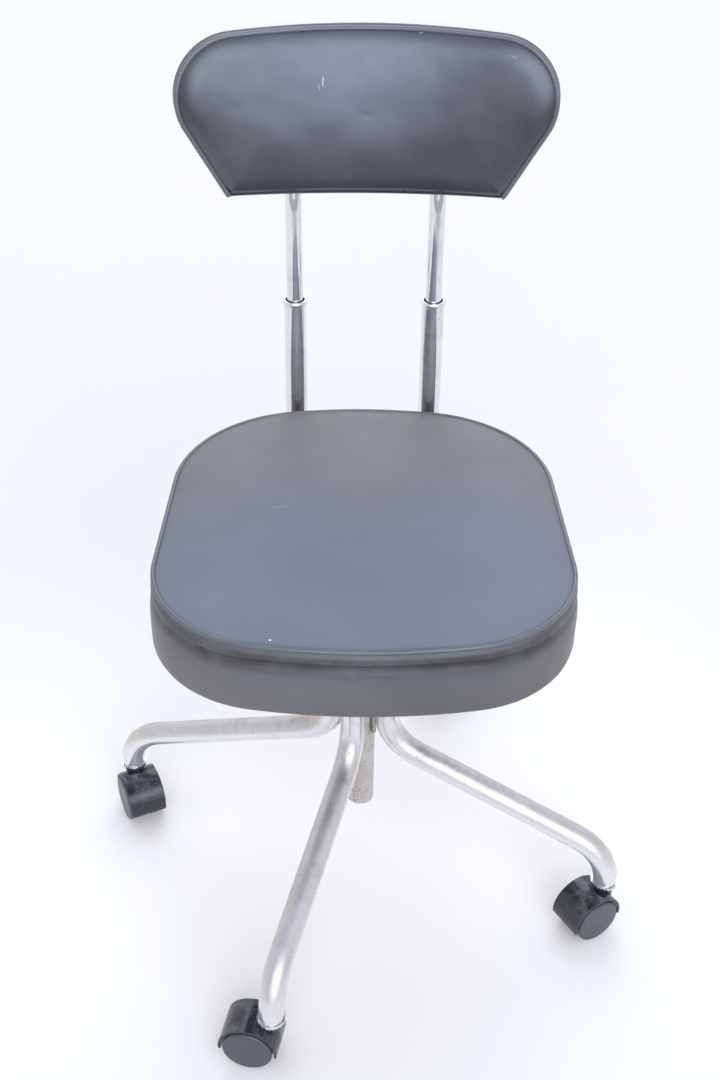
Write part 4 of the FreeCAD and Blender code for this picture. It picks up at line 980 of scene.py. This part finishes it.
def make_wheels():
    """Caster wheels: smooth outer disc with a shallow rim, hollow behind."""
    corners = [(0.0, WHEEL_FACE), (12.0 * MM, WHEEL_FACE),
               (WHEEL_RADIUS - 1.2 * MM, WHEEL_FACE - 0.2 * MM),
               (WHEEL_RADIUS, WHEEL_FACE - 1.6 * MM), (WHEEL_RADIUS, WHEEL_BACK),
               (WHEEL_RIM, WHEEL_BACK), (WHEEL_RIM, WHEEL_WEB), (WHEEL_BOSS, WHEEL_WEB),
               (WHEEL_BOSS, WHEEL_BACK), (AXLE_BORE, WHEEL_BACK), (AXLE_BORE, BORE_END),
               (0.0, BORE_END)]
    profile = rounded(corners, 0.7 * MM)
    for leg in LEGS:
        for label, side in (("left", 1), ("right", -1)):
            joint = JOINTS[f"wheel_{label}_{leg}_roll"]
            turned = [(radius, side * along) for radius, along in profile]
            wheel = lathe(f"wheel_{label}_{leg}_finish", turned, joint["pos_m"], joint["axis"])
            wear(wheel, WHEEL_SLATE)
            settle_on(wheel, f"wheel_{label}_{leg}")


def join_pieces(pieces, name):
    with bpy.context.temp_override(active_object=pieces[0], selected_editable_objects=pieces):
        bpy.ops.object.join()
    pieces[0].name = name
    return pieces[0]


def make_collars():
    """Rolled rings where the rods enter the lower tubes."""
    low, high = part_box("tube_collars")
    y = (low.y + high.y) / 2
    # Radius and height of each corner, in millimetres.
    corners = [(9.3, 0.6), (9.9, 0.0), (11.6, 0.0), (12.3, 1.3), (12.3, 3.6), (11.2, 5.0),
               (9.9, 5.0), (9.3, 4.2), (9.3, 0.6)]
    profile = rounded([(r * MM, z * MM) for r, z in corners], 0.9 * MM)
    rings = [lathe(f"collar_{label}", profile, (side * POST_X, y, low.z), (0, 0, 1))
             for label, side in SIDES]
    collars = join_pieces(rings, "collar_rings")
    wear(collars, RING_CHROME)
    settle_on(collars, "tube_collars")


# The base as in the CAD model, azimuths in degrees from +X toward +Y.
COLUMN_RADIUS, LEG_RADIUS, LEG_FROM_AXIS = 14.3 * MM, 12.7 * MM, 27.05 * MM
LEG_AZIMUTHS = (-108.5, -18.5, 71.5, 161.5)
WELD_LENGTH, WELD_SPREAD = 44 * MM, 6.2 * MM


def bead_radius(azimuth, side, z):
    """A weld bead's lumpy radius at the height z."""
    lump = noise.noise(Vector((azimuth, side, z * 200)))
    return (2.0 + 0.5 * abs(math.sin(z * 900)) + 0.6 * lump) * MM


def make_welds():
    """Weld beads on both sides of each leg, where it meets the column."""
    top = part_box("leg_front")[1].z - 2 * MM
    heights = np.linspace(top - WELD_LENGTH, top, 60)
    radial = (COLUMN_RADIUS + LEG_FROM_AXIS - LEG_RADIUS) / 2 + 1.2 * MM
    beads = []
    for azimuth in LEG_AZIMUTHS:
        cos, sin = math.cos(math.radians(azimuth)), math.sin(math.radians(azimuth))
        for side in (-1, 1):
            spread = WELD_SPREAD * side
            path = [(radial * cos - spread * sin, radial * sin + spread * cos, z) for z in heights]
            radii = [bead_radius(azimuth, side, z) for z in heights]
            beads.append(tube(f"bead_{len(beads)}", path, radii, closed=False, sides=10))
    welds = join_pieces(beads, "leg_welds")
    wear(welds, WELD)
    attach(welds, "base")


def make_hardware():
    for leg in LEGS:
        bevelled(f"caster_hood_{leg}", 1.0 * MM, HOOD_BLACK)
    bevelled("height_nut", 1.2 * MM, BLACK_PAINT)
    bevelled("seat_plate", 0.8 * MM, BLACK_PAINT)
    bevelled("swivel_hub", 1.0 * MM, BLACK_PAINT)
    bevelled("tube_saddles", 0.5 * MM, BLACK_PAINT)
    bevelled("clamp_bosses", 0.8 * MM, RING_CHROME)
    for label, _ in SIDES:
        bevelled(f"clamp_screw_{label}", 0.5 * MM, KNOB_BLACK)


# ---------------------------------------------------------------- floor, light, camera

FLOOR_RADIUS = 9.0
# Floor tones: far off, a painted pool of light near the stool, and painted shade in front.
FLOOR_FAR = (0.795, 0.735, 0.645, 1.0)
FLOOR_LIT_POOL = (0.915, 0.85, 0.75, 1.0)
FLOOR_FRONT_SHADE = (0.36, 0.335, 0.30, 1.0)
SKY_LOW = (1.02, 1.01, 1.00, 1.0)
SKY_HIGH = (0.72, 0.80, 0.99, 1.0)
SKY_FRONT = (0.50, 0.56, 0.68, 1.0)
BLACK = (0.0, 0.0, 0.0, 1.0)
# Soft bright patches: azimuth from +Y toward +X, elevation, colour, and the cosines of
# the angles between which each fades in.
PATCHES = ((0.0, 48.0, (1.7, 1.95, 2.5, 1.0), 0.87, 0.99),
           (168.0, 27.0, (2.4, 2.65, 3.2, 1.0), 0.77, 0.97))
EYE = (-0.0149, -1.1614, 1.3126)
EYE_YAW, EYE_PITCH, EYE_ROLL = math.radians(0.567), math.radians(-36.928), math.radians(0.688)
FOCAL_LENGTH, SENSOR_WIDTH = 51.13, 36.0


def make_floor():
    """Pale floor with a painted pool of light under the stool and painted shade well in front of it.
    """
    segments = 96
    points = [(0.0, 0.0, 0.0)] + [(FLOOR_RADIUS * math.cos(a), FLOOR_RADIUS * math.sin(a), 0.0)
                                  for a in np.linspace(0, 2 * math.pi, segments, endpoint=False)]
    faces = [(0, 1 + i, 1 + (i + 1) % segments) for i in range(segments)]
    floor = new_piece("studio_floor", points, faces, smooth=False)
    g = new_look("floor_paper")
    # Painted pool of light round the stool, which pales its shadows.
    tone = g.mix(g.ramp(g.length(g.place), 0.80, 0.25), FLOOR_FAR, FLOOR_LIT_POOL)
    tone = g.mix(g.ramp(g.noise(2.0, 3.0), 0.3, 0.7, 0.0, 0.03), tone, grey(0.5))
    # Painted shade on the floor well in front of the stool, shifted towards +X.
    forward = g.math("ADD", g.coordinate("Y"), g.times(g.coordinate("X"), -0.25))
    tone = g.mix(g.ramp(forward, -0.75, -1.60), tone, FLOOR_FRONT_SHADE)
    wear(floor, g.finish(Base_Color=tone, Roughness=0.9))


def direction_of(azimuth, elevation):
    """Unit vector at an azimuth from +Y toward +X and an elevation, in radians."""
    level = math.cos(elevation)
    return Vector((math.sin(azimuth) * level, math.cos(azimuth) * level, math.sin(elevation)))


def make_light():
    """Soft sky: pale low down behind the stool, bluer overhead and darker in front."""
    world = bpy.data.worlds.new("studio")
    g = Graph(world, "Background", "Generated")
    bpy.context.scene.world = world
    up, back = g.coordinate("Z"), g.coordinate("Y")
    blueness = g.ramp(g.math("SUBTRACT", up, g.times(back, 0.35)), 0.10, 0.55)
    sky = g.mix(blueness, SKY_LOW, SKY_HIGH)
    low_front = g.times(g.ramp(back, -0.10, -0.80), g.ramp(up, 0.42, 0.04))
    sky = g.mix(low_front, sky, SKY_FRONT)
    for azimuth, elevation, colour, fade, full in PATCHES:
        middle = direction_of(math.radians(azimuth), math.radians(elevation))
        toward = g.vector_math("DOT_PRODUCT", g.place, middle, "Value")
        sky = g.vector_math("ADD", sky, g.mix(g.ramp(toward, fade, full), BLACK, colour))
    g.finish(Color=sky, Strength=1.0)
    bpy.context.scene.view_settings.view_transform = "Standard"


def make_camera():
    """Eye a little above head height in front of the stool, looking down at it."""
    data = bpy.data.cameras.new("eye")
    data.sensor_width = SENSOR_WIDTH
    data.lens = FOCAL_LENGTH
    camera = bpy.data.objects.new("eye", data)
    ahead = direction_of(EYE_YAW, EYE_PITCH)
    right = Vector((math.cos(EYE_YAW), -math.sin(EYE_YAW), 0.0))
    up = right.cross(ahead)
    tipped_right = right * math.cos(EYE_ROLL) + up * math.sin(EYE_ROLL)
    tipped_up = up * math.cos(EYE_ROLL) - right * math.sin(EYE_ROLL)
    rotation = Matrix((tipped_right, tipped_up, -ahead)).transposed().to_4x4()
    camera.matrix_world = Matrix.Translation(EYE) @ rotation
    bpy.context.scene.collection.objects.link(camera)
    bpy.context.scene.camera = camera


make_camera()
make_light()
make_floor()
finish_nodes()
make_seat()
make_front_pad()
make_rear_pad()
make_boxing()
make_back_piping()
make_wheels()
make_collars()
make_welds()
make_hardware()
